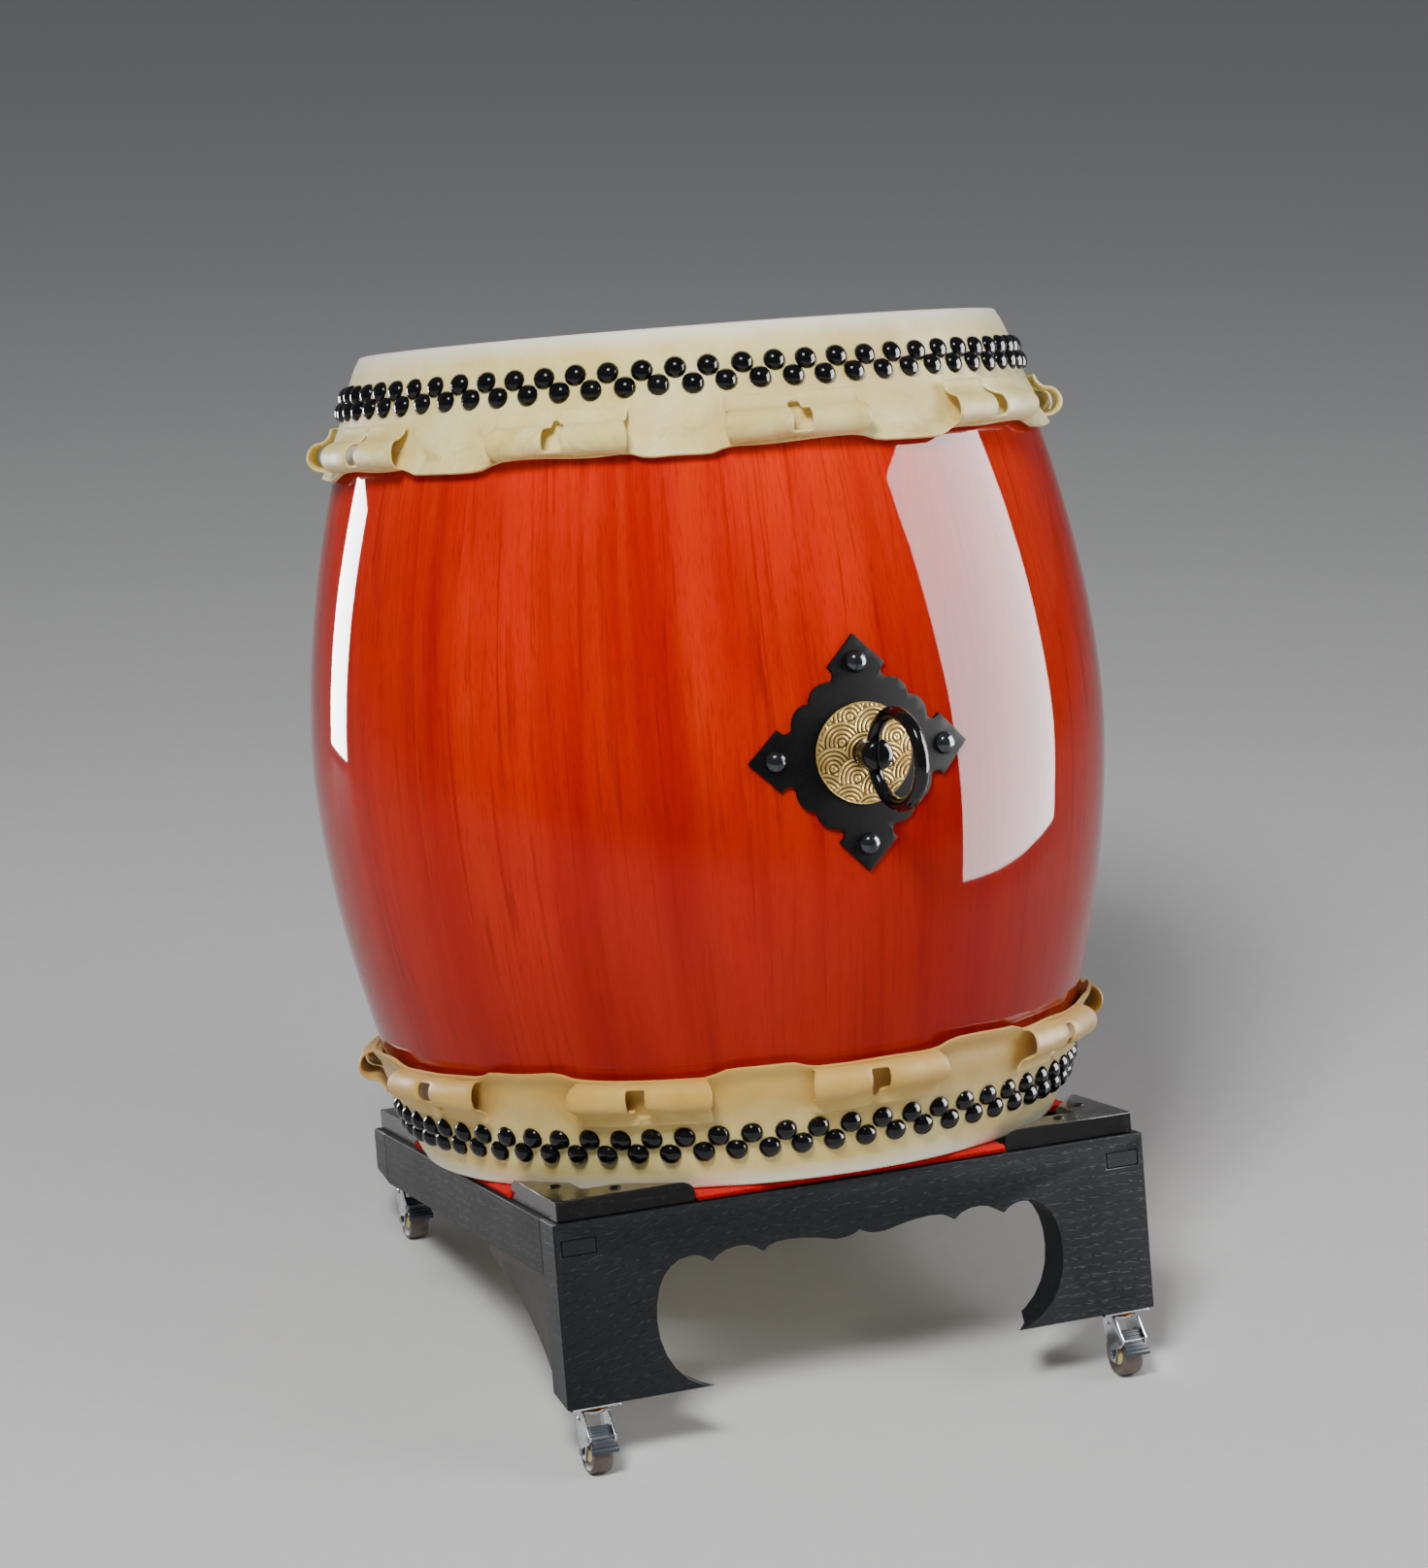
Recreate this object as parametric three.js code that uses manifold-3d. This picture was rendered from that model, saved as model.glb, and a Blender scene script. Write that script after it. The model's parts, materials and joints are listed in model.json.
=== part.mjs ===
// A lacquered barrel drum with two tacked rawhide heads. It stands on a slanted wooden
// stand, taller at the front, that rolls on four small braked casters.
// Millimetres, +Z up, the tall front of the stand faces -Y.
import * as THREE from "three";
import { mergeVertices } from "three/addons/utils/BufferGeometryUtils.js";
import Module from "manifold-3d";

const wasm = await Module();
wasm.setup();

// ---------------------------------------------------------------- driving dimensions
const GAP = 0.3; // room between pieces that touch

// The stand: a square frame of boards whose top plane leans back.
const STAND_SIDE = 455; // outer width and depth of the frame, along its own plane
const TILT = THREE.MathUtils.degToRad(12);
const BOARD = 30; // thickness of every board and rail
const LEG_DROP = 130; // front board's depth below its top edge
const RAIL_DROP = 40;
const TENON_TOP = 12; // below the frame's top plane
const TENON_HEIGHT = 11;
const TENON_INSET = 5; // of wood left outside each tenon
const GUSSET = { inset: 2.5, width: 20, tail: -63, lip: 8, foot: -110, toe: 8, bow: { y: -143, z: -66 } };

// Corner blocks that keep the drum in place, and the felt it rests on.
const BLOCK_HEIGHT = 15;
const BLOCK_ARM = 103;
const BLOCK_WIDTH = 30;
const BLOCK_SHORT_ARM = 66; // where the inner side of an arm ends
const BLOCK_INSET = 5; // from the frame's outer faces
const FELT = 6;

// The drum, on its own axis, counted from its lower end.
const DRUM_HEIGHT = 603;
const BELLY_RADIUS = 300;
const HIDE = 3; // thickness of the rawhide
const RIM_RADIUS = 241; // outside of the hide at either end
const SHELL_WALL = 26;
const SKIRT = 88; // how far the hide reaches down the shell
const TURN_SEGMENTS = 40; // facets round every large turned piece
const TACKS = 68; // in each row
const TACK_ROWS = [28.4, 39.6]; // below the head
const TACK_HEIGHT = 5.5;
const TACK_RADIUS = 7.8;
// The rolled loops of hide round each head, in degrees from the drum's front towards +X.
const TOP_EARS = [-78, -39, -4, 33.5, 75, 116, 158, 199, 241];
const BOTTOM_EARS = [-72.5, -34.5, 1, 40, 81, 122.5, 164, 205, 246];
const EAR_DEPTH = 72; // from the head to a loop's middle
const EAR_RADIUS = 11;
const EAR_PROUD = 9; // from the skirt to a loop's middle line
const EAR_SPAN = THREE.MathUtils.degToRad(20);

// A handle: a diamond plate, a disc, an eyebolt and a loose ring.
const PLATE_REACH = 82; // from the middle to each tip
const PLATE_THICK = 2.6;
const DISC_RADIUS = 35;
const DISC_THICK = 2;
const NAIL_REACH = 63;
const NAIL_RADIUS = 7.7;
const NAIL_HEIGHT = 6;
const SHANK_RADIUS = 4.5;
const KNOB_RADIUS = 11.5;
const KNOB_LENGTH = 26;
const EYE_OUT = 14; // from the disc to the middle of the eye
const EYE_RADIUS = 7.6;
const RING_RADIUS = 31.2; // to the middle of the wire
const RING_WIRE = 4.9;
const RING_SLACK = 1.4; // the ring's wire lies this far inside the middle of the eye
const RING_TURN = THREE.MathUtils.degToRad(8);
const RING_DROOP = THREE.MathUtils.degToRad(4);

// A caster.
const CASTER_HEIGHT = 50;
const CASTER_INSET = 21.5; // from the frame's side to the swivel axis
const TRAIL = 12;
const WHEEL_RADIUS = 16;
const WHEEL_HALF_WIDTH = 7.5;
const CASTER_PLATE = { width: 34, depth: 28, thick: 2 };
const FORK_TOP = 45;
const FORK_METAL = 1.6;
const FORK_GAP = 16.8; // between the arms
const PIN_FIT = 0.3; // radial room round an axle or pin
const KINGPIN_RADIUS = 4;
const AXLE_RADIUS = 2.5;
const PEDAL_PIVOT = { y: -12.2, z: 14.6 }; // from the axle
const PEDAL_PIN_RADIUS = 1.5;
const PEDAL_SLOPE = Math.atan2(-PEDAL_PIVOT.y, PEDAL_PIVOT.z);

// ---------------------------------------------------------------- materials
function finish(color, roughness, metalness = 0) {
  return new THREE.MeshStandardMaterial({ color, roughness, metalness });
}
const lacquer = finish(0xb72a0c, 0.15);
const rawhide = finish(0xd9c79c, 0.6);
const blackMetal = finish(0x0d0d0f, 0.25, 0.8);
const brass = finish(0xb8933f, 0.35, 1);
const stainedWood = finish(0x1c1f23, 0.55);
const blockWood = finish(0x15161a, 0.3);
const brownWood = finish(0x3a2f28, 0.6);
const redFelt = finish(0xd8281c, 0.95);
const chrome = finish(0xc9ccd0, 0.15, 1);
const race = finish(0xc9761b, 0.35, 0.8);
const tread = finish(0x5b504a, 0.6);
const pedalPlastic = finish(0x4a5058, 0.5);

// ---------------------------------------------------------------- solids
const X = new THREE.Vector3(1, 0, 0);
const Y = new THREE.Vector3(0, 1, 0);
const Z = new THREE.Vector3(0, 0, 1);

function solid(geometry) {
  const plain = geometry.clone();
  plain.deleteAttribute("normal");
  plain.deleteAttribute("uv");
  const merged = mergeVertices(plain, 1e-4);
  return new wasm.Manifold(
    new wasm.Mesh({
      numProp: 3,
      vertProperties: new Float32Array(merged.attributes.position.array),
      triVerts: new Uint32Array(merged.index.array),
    }),
  );
}

function geometryOf(made) {
  const mesh = made.getMesh();
  const geometry = new THREE.BufferGeometry();
  geometry.setAttribute("position", new THREE.BufferAttribute(mesh.vertProperties, 3));
  geometry.setIndex(new THREE.BufferAttribute(mesh.triVerts, 1));
  geometry.computeVertexNormals();
  return geometry;
}

const join = (first, ...rest) =>
  geometryOf(rest.reduce((made, piece) => made.add(solid(piece)), solid(first)));
const cut = (first, ...rest) =>
  geometryOf(rest.reduce((made, piece) => made.subtract(solid(piece)), solid(first)));
const overlap = (first, second) => geometryOf(solid(first).intersect(solid(second)));

// A box from its lowest to its highest corner.
function block(x0, x1, y0, y1, z0, z1) {
  return new THREE.BoxGeometry(x1 - x0, y1 - y0, z1 - z0).translate(
    (x0 + x1) / 2,
    (y0 + y1) / 2,
    (z0 + z1) / 2,
  );
}

// A closed [radius, height] profile turned round Z. It runs anticlockwise.
function turned(profile, segments, closed = true) {
  const points = profile.map(([r, h]) => new THREE.Vector2(r, h));
  if (closed) points.push(points[0].clone());
  return new THREE.LatheGeometry(points, segments).rotateX(Math.PI / 2);
}

// A cylinder along X.
function rod(radius, length, segments) {
  return new THREE.CylinderGeometry(radius, radius, length, segments).rotateZ(Math.PI / 2);
}

// An outline in the (Y, Z) plane, made thick along X.
function plateAcrossX(points, x0, x1) {
  const outline = new THREE.Shape(points.map(([y, z]) => new THREE.Vector2(y, z)));
  return new THREE.ExtrudeGeometry(outline, { depth: x1 - x0, bevelEnabled: false })
    .applyMatrix4(new THREE.Matrix4().makeBasis(Y, Z, X))
    .translate(x0, 0, 0);
}

// A shape in the (X, Z) plane, made thick along Y from front to back.
function plateAcrossY(shape, front, back, curveSegments) {
  return new THREE.ExtrudeGeometry(shape, {
    depth: back - front,
    bevelEnabled: false,
    curveSegments,
  })
    .applyMatrix4(new THREE.Matrix4().makeBasis(X, Z, Y.clone().negate()))
    .translate(0, back, 0);
}

// ---------------------------------------------------------------- the assembly's groups
const part = new THREE.Group();
const half = STAND_SIDE / 2;
const frameTop = CASTER_HEIGHT + LEG_DROP * Math.cos(TILT) - half * Math.sin(TILT);

const tilted = new THREE.Group(); // its origin is the middle of the frame's top plane
tilted.rotation.x = -TILT;
tilted.position.z = frameTop;
part.add(tilted);

const drum = new THREE.Group();
drum.position.z = FELT + 2 * GAP;
tilted.add(drum);
part.updateMatrixWorld(true);

function add(group, name, geometry, material) {
  const mesh = new THREE.Mesh(geometry, material);
  mesh.name = name;
  group.add(mesh);
  return mesh;
}

// ---------------------------------------------------------------- the stand
const belowCasters = block(-half * 2, half * 2, -half * 2, half * 2, -100, CASTER_HEIGHT)
  .applyMatrix4(tilted.matrixWorld.clone().invert());

// The front board: two feet with a round arch beside each, and scallops up to the middle.
function frontOutline() {
  const outline = new THREE.Shape();
  const below = -LEG_DROP - 20;
  outline.moveTo(-half, 0);
  outline.lineTo(-half, below);
  outline.lineTo(-115, below);
  outline.lineTo(-115, -130.5);
  outline.bezierCurveTo(-140, -128, -157, -105, -157, -78);
  outline.bezierCurveTo(-157, -52, -146, -36, -129, -36);
  outline.quadraticCurveTo(-119, -36, -113, -42.5);
  outline.bezierCurveTo(-105, -33, -84, -31, -74, -41.3);
  outline.bezierCurveTo(-68, -33, -46, -34.5, -20, -41);
  outline.quadraticCurveTo(-6, -42, 0, -36.8);
  outline.quadraticCurveTo(6, -42, 20, -41);
  outline.bezierCurveTo(46, -34.5, 68, -33, 74, -41.3);
  outline.bezierCurveTo(84, -31, 105, -33, 113, -42.5);
  outline.quadraticCurveTo(119, -36, 129, -36);
  outline.bezierCurveTo(146, -36, 157, -52, 157, -78);
  outline.bezierCurveTo(157, -105, 140, -128, 115, -130.5);
  outline.lineTo(115, below);
  outline.lineTo(half, below);
  outline.lineTo(half, 0);
  return outline;
}

// A rail's tenon, or the mortise for it when it is given some room.
function tenon(side, end, room) {
  const inner = half - BOARD - room;
  const outer = half - TENON_INSET + room;
  const [x0, x1] = side < 0 ? [-outer, -inner] : [inner, outer];
  const [y0, y1] = end < 0 ? [-half - room, -half + BOARD + 10] : [half - BOARD - 10, half + room];
  return block(x0, x1, y0, y1, -TENON_TOP - TENON_HEIGHT - room, -TENON_TOP + room);
}
const mortises = (end) => [tenon(-1, end, GAP), tenon(1, end, GAP)];

const frontBoard = plateAcrossY(frontOutline(), -half, -half + BOARD, 6);
add(tilted, "front_board", cut(frontBoard, belowCasters, ...mortises(-1)), stainedWood);

const backBoard = block(-half, half, half - BOARD, half, -RAIL_DROP - 15, 0);
add(tilted, "back_board", cut(backBoard, belowCasters, ...mortises(1)), stainedWood);

const SIDES = [
  ["left", -1],
  ["right", 1],
];
const ENDS = [
  ["front", -1],
  ["back", 1],
];

for (const [side, sx] of SIDES) {
  const [x0, x1] = sx < 0 ? [-half, -half + BOARD] : [half - BOARD, half];
  const reach = half - BOARD - GAP;
  const body = block(x0, x1, -reach, reach, -RAIL_DROP, 0);
  const rail = join(body, tenon(sx, -1, 0), tenon(sx, 1, 0));
  add(tilted, side + "_rail", cut(rail, belowCasters), stainedWood);

  // A curved gusset under the rail, behind the front leg.
  const gussetTop = -RAIL_DROP - GAP;
  const bow = new THREE.QuadraticBezierCurve(
    new THREE.Vector2(-reach + GUSSET.toe, GUSSET.foot),
    new THREE.Vector2(GUSSET.bow.y, GUSSET.bow.z),
    new THREE.Vector2(GUSSET.tail, gussetTop - GUSSET.lip),
  );
  const outline = [
    [GUSSET.tail, gussetTop],
    [-reach, gussetTop],
    [-reach, GUSSET.foot],
    ...bow.getPoints(7).map((p) => [p.x, p.y]),
  ];
  const outer = half - GUSSET.inset;
  const inner = outer - GUSSET.width;
  const [g0, g1] = sx < 0 ? [-outer, -inner] : [inner, outer];
  add(tilted, side + "_gusset", plateAcrossX(outline, g0, g1), brownWood);
}

// Corner blocks, and a strip of felt between each pair.
for (const [end, sy] of ENDS) {
  for (const [side, sx] of SIDES) {
    const corner = half - BLOCK_INSET;
    const outline = new THREE.Shape(
      [
        [0, 0],
        [BLOCK_ARM, 0],
        [BLOCK_SHORT_ARM, BLOCK_WIDTH],
        [BLOCK_WIDTH, BLOCK_WIDTH],
        [BLOCK_WIDTH, BLOCK_SHORT_ARM],
        [0, BLOCK_ARM],
      ].map(([u, v]) => new THREE.Vector2(sx * (corner - u), sy * (corner - v))),
    );
    const shape = new THREE.ExtrudeGeometry(outline, { depth: BLOCK_HEIGHT, bevelEnabled: false });
    add(tilted, end + "_" + side + "_block", shape.translate(0, 0, GAP), blockWood);
  }
}
const feltReach = half - BLOCK_INSET - BLOCK_ARM - 1;
const feltIn = half - BOARD + 1;
const feltOut = half - 1.5;
for (const [end, sy] of ENDS) {
  const [y0, y1] = sy < 0 ? [-feltOut, -feltIn] : [feltIn, feltOut];
  add(tilted, end + "_felt", block(-feltReach, feltReach, y0, y1, GAP, FELT + GAP), redFelt);
}
for (const [side, sx] of SIDES) {
  const [x0, x1] = sx < 0 ? [-feltOut, -feltIn] : [feltIn, feltOut];
  add(tilted, side + "_felt", block(x0, x1, -feltReach, feltReach, GAP, FELT + GAP), redFelt);
}

// ---------------------------------------------------------------- the drum
const shellEnd = RIM_RADIUS - HIDE - GAP; // radius of the shell's own ends
const middle = DRUM_HEIGHT / 2;

// The barrel's outer radius at a height along the drum.
function barrel(z) {
  const t = Math.abs(z - middle) / middle;
  return BELLY_RADIUS - (BELLY_RADIUS - shellEnd) * t ** 1.8;
}

// The heights where every piece on the shell has its corners, so that their facets nest.
const lowerHeights = [HIDE + GAP, 31, 60, SKIRT, 150, middle - 88, middle - 44];
const upperHeights = lowerHeights.map((z) => DRUM_HEIGHT - z).reverse();
const heights = [...lowerHeights, middle, ...upperHeights];

// [radius, height] points up the barrel, moved outwards by some amount.
const wall = (levels, out) => levels.map((z) => [barrel(z) + out, z]);

// A hole through both sides of the shell, for the eyebolts' shanks.
const shankHole = new THREE.CylinderGeometry(
  SHANK_RADIUS + PIN_FIT,
  SHANK_RADIUS + PIN_FIT,
  BELLY_RADIUS * 3,
  12,
).translate(0, 0, middle);

const last = heights.length - 1;
const innerHeights = heights.filter((_, i) => i % 2 === 1 || i === 0 || i === last);
const shellProfile = [...wall(heights, 0), ...wall(innerHeights, -SHELL_WALL).reverse()];
add(drum, "drum_shell", cut(turned(shellProfile, TURN_SEGMENTS), shankHole), lacquer);

// One head as it sits on the drum's upper end: membrane, skirt and rolled ears.
function head(earTurns) {
  const top = DRUM_HEIGHT;
  const outer = HIDE + GAP;
  const levels = upperHeights.filter((z) => z >= top - SKIRT);
  const skirt = turned(
    [
      [0, top - HIDE],
      [barrel(levels.at(-1)) + GAP, top - HIDE],
      ...wall(levels, GAP).reverse(),
      ...wall(levels.slice(0, -1), outer),
      [barrel(top - 6) + outer, top - 6],
      [RIM_RADIUS - 1.5, top - 1.6],
      [RIM_RADIUS - 6.5, top],
      [0, top],
    ],
    TURN_SEGMENTS,
    false,
  );
  const height = top - EAR_DEPTH;
  const reach = barrel(height) + outer + EAR_PROUD;
  const section = new THREE.Shape().absarc(0, 0, EAR_RADIUS, 0, 2 * Math.PI);
  const ears = earTurns.map((turn) => {
    const centre = THREE.MathUtils.degToRad(turn - 90);
    const path = new THREE.CatmullRomCurve3(
      [-0.5, 0, 0.5].map((share) => {
        const angle = centre + share * EAR_SPAN;
        return new THREE.Vector3(reach * Math.cos(angle), reach * Math.sin(angle), height);
      }),
    );
    return new THREE.ExtrudeGeometry(section, { steps: 2, curveSegments: 8, extrudePath: path });
  });
  return join(skirt, ...ears);
}
add(drum, "top_head", head(TOP_EARS), rawhide);
const lower = add(drum, "bottom_head", head(BOTTOM_EARS.map((turn) => 180 - turn)), rawhide);
lower.rotation.x = Math.PI;
lower.position.z = DRUM_HEIGHT;

// Both rows of one head's tacks, staggered, joined by the thin web between their heads.
function tackRows() {
  const columns = 2 * TACKS;
  const web = HIDE + 4 * GAP; // the web's outer face, from the shell
  const lines = [
    [TACK_ROWS[0] - TACK_RADIUS, null],
    [TACK_ROWS[0], 0],
    [TACK_ROWS[1], 1],
    [TACK_ROWS[1] + TACK_RADIUS, null],
  ];
  const position = [];
  const index = [];
  for (let c = 0; c < columns; c++) {
    const angle = (2 * Math.PI * c) / columns;
    const ring = lines.map(([depth, row]) => {
      const z = DRUM_HEIGHT - depth;
      return [barrel(z) + web + (row === c % 2 ? TACK_HEIGHT : 0.4), z];
    });
    for (const [depth] of [lines[3], lines[0]]) {
      const z = DRUM_HEIGHT - depth;
      ring.push([barrel(z) + HIDE + 2.5 * GAP, z]);
    }
    for (const [r, z] of ring) position.push(r * Math.cos(angle), r * Math.sin(angle), z);
    for (let k = 0; k < ring.length; k++) {
      const a = c * ring.length + k;
      const b = c * ring.length + ((k + 1) % ring.length);
      const next = (v) => (v + ring.length) % (columns * ring.length);
      index.push(a, b, next(b), a, next(b), next(a));
    }
  }
  const hoop = new THREE.BufferGeometry();
  hoop.setAttribute("position", new THREE.Float32BufferAttribute(position, 3));
  hoop.setIndex(index);
  hoop.computeVertexNormals();
  return hoop;
}
add(drum, "top_tacks", tackRows(), blackMetal);
const lowerTacks = add(drum, "bottom_tacks", tackRows(), blackMetal);
lowerTacks.rotation.x = Math.PI;
lowerTacks.position.z = DRUM_HEIGHT;

// ---------------------------------------------------------------- the handles
// A quarter of the plate's edge, turned four times: arrowhead tip, notch, two scallops, notch.
function plateOutline() {
  const outline = new THREE.Shape();
  outline.moveTo(0, PLATE_REACH);
  for (let quarter = 0; quarter < 4; quarter++) {
    const turn = (-Math.PI / 2) * quarter;
    const at = (x, y) => [
      x * Math.cos(turn) - y * Math.sin(turn),
      x * Math.sin(turn) + y * Math.cos(turn),
    ];
    outline.lineTo(...at(21.5, PLATE_REACH - 21.5));
    outline.quadraticCurveTo(...at(15, 54.5), ...at(20.5, 50.5));
    outline.bezierCurveTo(...at(30, 51), ...at(37, 45), ...at(37, 37));
    outline.bezierCurveTo(...at(45, 37), ...at(51, 30), ...at(50.5, 20.5));
    outline.quadraticCurveTo(...at(54.5, 15), ...at(PLATE_REACH - 21.5, 21.5));
    outline.lineTo(...at(PLATE_REACH, 0));
  }
  return outline;
}

// A layer over the shell, between two distances from it, in the handle's stretch.
function layer(inside, outside) {
  const levels = heights.slice(5, -5);
  return turned([...wall(levels, outside), ...wall(levels, inside).reverse()], TURN_SEGMENTS);
}

const plateOut = 2 * GAP + PLATE_THICK;
const discOut = plateOut + GAP + DISC_THICK;
const diamond = plateAcrossY(plateOutline(), -BELLY_RADIUS - 30, -BELLY_RADIUS + 40, 3)
  .translate(0, 0, middle);
const plateShape = cut(overlap(diamond, layer(2 * GAP, plateOut)), shankHole);
const discPlug = new THREE.CylinderGeometry(DISC_RADIUS, DISC_RADIUS, 80, 24)
  .translate(0, -BELLY_RADIUS, middle);
const discShape = cut(overlap(discPlug, layer(plateOut + GAP, discOut)), shankHole);

// The eyebolt, out along +Z from the disc: a washer inside the shell, a shank, a knob with an eye.
const inside = -(discOut + SHELL_WALL + 5 * GAP);
const boltBody = turned(
  [
    [0, inside - 3],
    [12, inside - 3],
    [12, inside],
    [SHANK_RADIUS, inside],
    [SHANK_RADIUS, 2 * GAP],
    [9.5, 2 * GAP],
    [9.5, 3.5],
    [KNOB_RADIUS, 6],
    [KNOB_RADIUS, KNOB_LENGTH - 5],
    [KNOB_RADIUS - 3, KNOB_LENGTH - 1],
    [0, KNOB_LENGTH],
  ],
  12,
  false,
);
const eye = new THREE.CylinderGeometry(EYE_RADIUS, EYE_RADIUS, 40, 12).translate(0, 0, EYE_OUT);
const boltShape = cut(boltBody, eye)
  .rotateX(Math.PI / 2)
  .translate(0, -BELLY_RADIUS - discOut, middle);

const ringShape = new THREE.TorusGeometry(RING_RADIUS, RING_WIRE, 8, 20)
  .rotateX(Math.PI / 2)
  .rotateZ(Math.PI / 2)
  .translate(0, -(RING_RADIUS - RING_SLACK), 0)
  .rotateX(RING_DROOP)
  .rotateZ(RING_TURN)
  .translate(0, -BELLY_RADIUS - discOut - EYE_OUT, middle);

const nailProfile = [
  [0, 0],
  [NAIL_RADIUS, 0],
  [NAIL_RADIUS * 0.8, NAIL_HEIGHT * 0.6],
  [0, NAIL_HEIGHT],
];

for (const [end, sy] of ENDS) {
  const handle = new THREE.Group();
  handle.rotation.z = sy < 0 ? 0 : Math.PI;
  drum.add(handle);
  add(handle, end + "_handle_plate", plateShape.clone(), blackMetal);
  add(handle, end + "_handle_disc", discShape.clone(), brass);
  add(handle, end + "_eyebolt", boltShape.clone(), blackMetal);
  add(handle, end + "_ring", ringShape.clone(), blackMetal);
  const nails = [
    ["upper", 0, NAIL_REACH],
    ["lower", 0, -NAIL_REACH],
    ["left", -NAIL_REACH, 0],
    ["right", NAIL_REACH, 0],
  ];
  for (const [place, across, up] of nails) {
    const z = middle + up;
    const turn = across / BELLY_RADIUS;
    const slope = Math.atan2(barrel(z + 1) - barrel(z - 1), 2);
    const shape = turned(nailProfile, 8, false)
      .rotateX(Math.PI / 2 + slope)
      .translate(0, -barrel(z) - plateOut - 2 * GAP, z)
      .rotateZ(turn);
    add(handle, end + "_" + place + "_nail", shape, blackMetal);
  }
}

// ---------------------------------------------------------------- the casters
const casterZ = (y) => (CASTER_HEIGHT - frameTop + y * Math.sin(TILT)) / Math.cos(TILT);
function swivelY(sy) {
  const along = sy * (half - BOARD / 2);
  return along * Math.cos(TILT) + casterZ(along) * Math.sin(TILT);
}

function casterPlate() {
  const { width, depth, thick } = CASTER_PLATE;
  const top = CASTER_HEIGHT - GAP;
  const plate = block(-width / 2, width / 2, -depth / 2, depth / 2, top - thick, top);
  const head = FORK_TOP - FORK_METAL - GAP;
  const kingpin = turned(
    [
      [0, head - 2],
      [KINGPIN_RADIUS + 2, head - 2],
      [KINGPIN_RADIUS + 2, head],
      [KINGPIN_RADIUS, head],
      [KINGPIN_RADIUS, top - 1],
      [0, top - 1],
    ],
    8,
    false,
  );
  return join(plate, kingpin);
}

function casterRace() {
  const [low, high] = [FORK_TOP + GAP, CASTER_HEIGHT - 2 * GAP - CASTER_PLATE.thick];
  const bore = KINGPIN_RADIUS + PIN_FIT;
  return turned(
    [
      [bore, low],
      [10, low],
      [11.5, (low + high) / 2],
      [10, high],
      [bore, high],
    ],
    12,
  );
}

function casterFork() {
  const disc = new THREE.CylinderGeometry(13, 13, FORK_METAL, 16)
    .rotateX(Math.PI / 2)
    .translate(0, 0, FORK_TOP - FORK_METAL / 2);
  const arm = [
    [8, FORK_TOP],
    [-12, FORK_TOP],
    [-21, 37],
    [-TRAIL + PEDAL_PIVOT.y - 2.5, 33],
    [-TRAIL + PEDAL_PIVOT.y - 2.5, 28],
    [-19, 23],
    [-16, 11],
    [-8, 11],
    [-4, 20],
    [8, 41],
  ];
  const outer = FORK_GAP / 2 + FORK_METAL;
  const arms = [
    plateAcrossX(arm, -outer, -FORK_GAP / 2),
    plateAcrossX(arm, FORK_GAP / 2, outer),
  ];
  const holes = [
    rod(AXLE_RADIUS + PIN_FIT, 40, 8).translate(0, -TRAIL, WHEEL_RADIUS),
    rod(PEDAL_PIN_RADIUS + PIN_FIT, 40, 8)
      .translate(0, -TRAIL + PEDAL_PIVOT.y, WHEEL_RADIUS + PEDAL_PIVOT.z),
    new THREE.CylinderGeometry(KINGPIN_RADIUS + PIN_FIT, KINGPIN_RADIUS + PIN_FIT, 12, 8)
      .rotateX(Math.PI / 2)
      .translate(0, 0, FORK_TOP),
  ];
  return cut(join(disc, ...arms), ...holes);
}

// Along X, round the origin.
function casterAxle() {
  const shoulder = FORK_GAP / 2 + FORK_METAL + GAP;
  return turned(
    [
      [0, -shoulder - 2],
      [4.2, -shoulder - 2],
      [4.2, -shoulder],
      [AXLE_RADIUS, -shoulder],
      [AXLE_RADIUS, shoulder],
      [4.2, shoulder],
      [4.2, shoulder + 2],
      [0, shoulder + 2],
    ],
    8,
    false,
  ).rotateY(Math.PI / 2);
}

// Turned by half a facet, so that it rests on a flat.
function casterWheel() {
  const bore = AXLE_RADIUS + PIN_FIT;
  const facets = 20;
  const radius = WHEEL_RADIUS / Math.cos(Math.PI / facets);
  return turned(
    [
      [bore, -WHEEL_HALF_WIDTH],
      [7, -WHEEL_HALF_WIDTH],
      [radius, -WHEEL_HALF_WIDTH + 1],
      [radius, WHEEL_HALF_WIDTH - 1],
      [7, WHEEL_HALF_WIDTH],
      [bore, WHEEL_HALF_WIDTH],
    ],
    facets,
  )
    .rotateZ(Math.PI / facets)
    .rotateY(Math.PI / 2);
}

// Round its pivot, with its tread surface up the slope along +Y.
function casterPedal() {
  const narrow = FORK_GAP / 2 - 0.6;
  const wide = 10;
  const strip = block(-narrow, narrow, -11, 9, -1, 1);
  const lip = block(-wide, wide, -11, -4.5, -1, 1);
  const outer = FORK_GAP / 2 + FORK_METAL;
  const pin = rod(PEDAL_PIN_RADIUS, 2 * outer + 1.5, 8);
  return join(strip, lip, pin).rotateX(PEDAL_SLOPE);
}

const shapes = {
  plate: [casterPlate(), chrome, [0, 0, 0]],
  race: [casterRace(), race, [0, 0, 0]],
  fork: [casterFork(), chrome, [0, 0, 0]],
  axle: [casterAxle(), chrome, [0, -TRAIL, WHEEL_RADIUS]],
  wheel: [casterWheel(), tread, [0, -TRAIL, WHEEL_RADIUS]],
  pedal: [
    casterPedal(),
    pedalPlastic,
    [0, -TRAIL + PEDAL_PIVOT.y, WHEEL_RADIUS + PEDAL_PIVOT.z],
  ],
};
for (const [end, sy] of ENDS) {
  for (const [side, sx] of SIDES) {
    const caster = new THREE.Group();
    caster.position.set(sx * (half - CASTER_INSET), swivelY(sy), 0);
    part.add(caster);
    for (const [piece, [shape, material, place]] of Object.entries(shapes)) {
      const name = end + "_" + side + "_caster_" + piece;
      add(caster, name, shape.clone(), material).position.set(...place);
    }
  }
}

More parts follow.
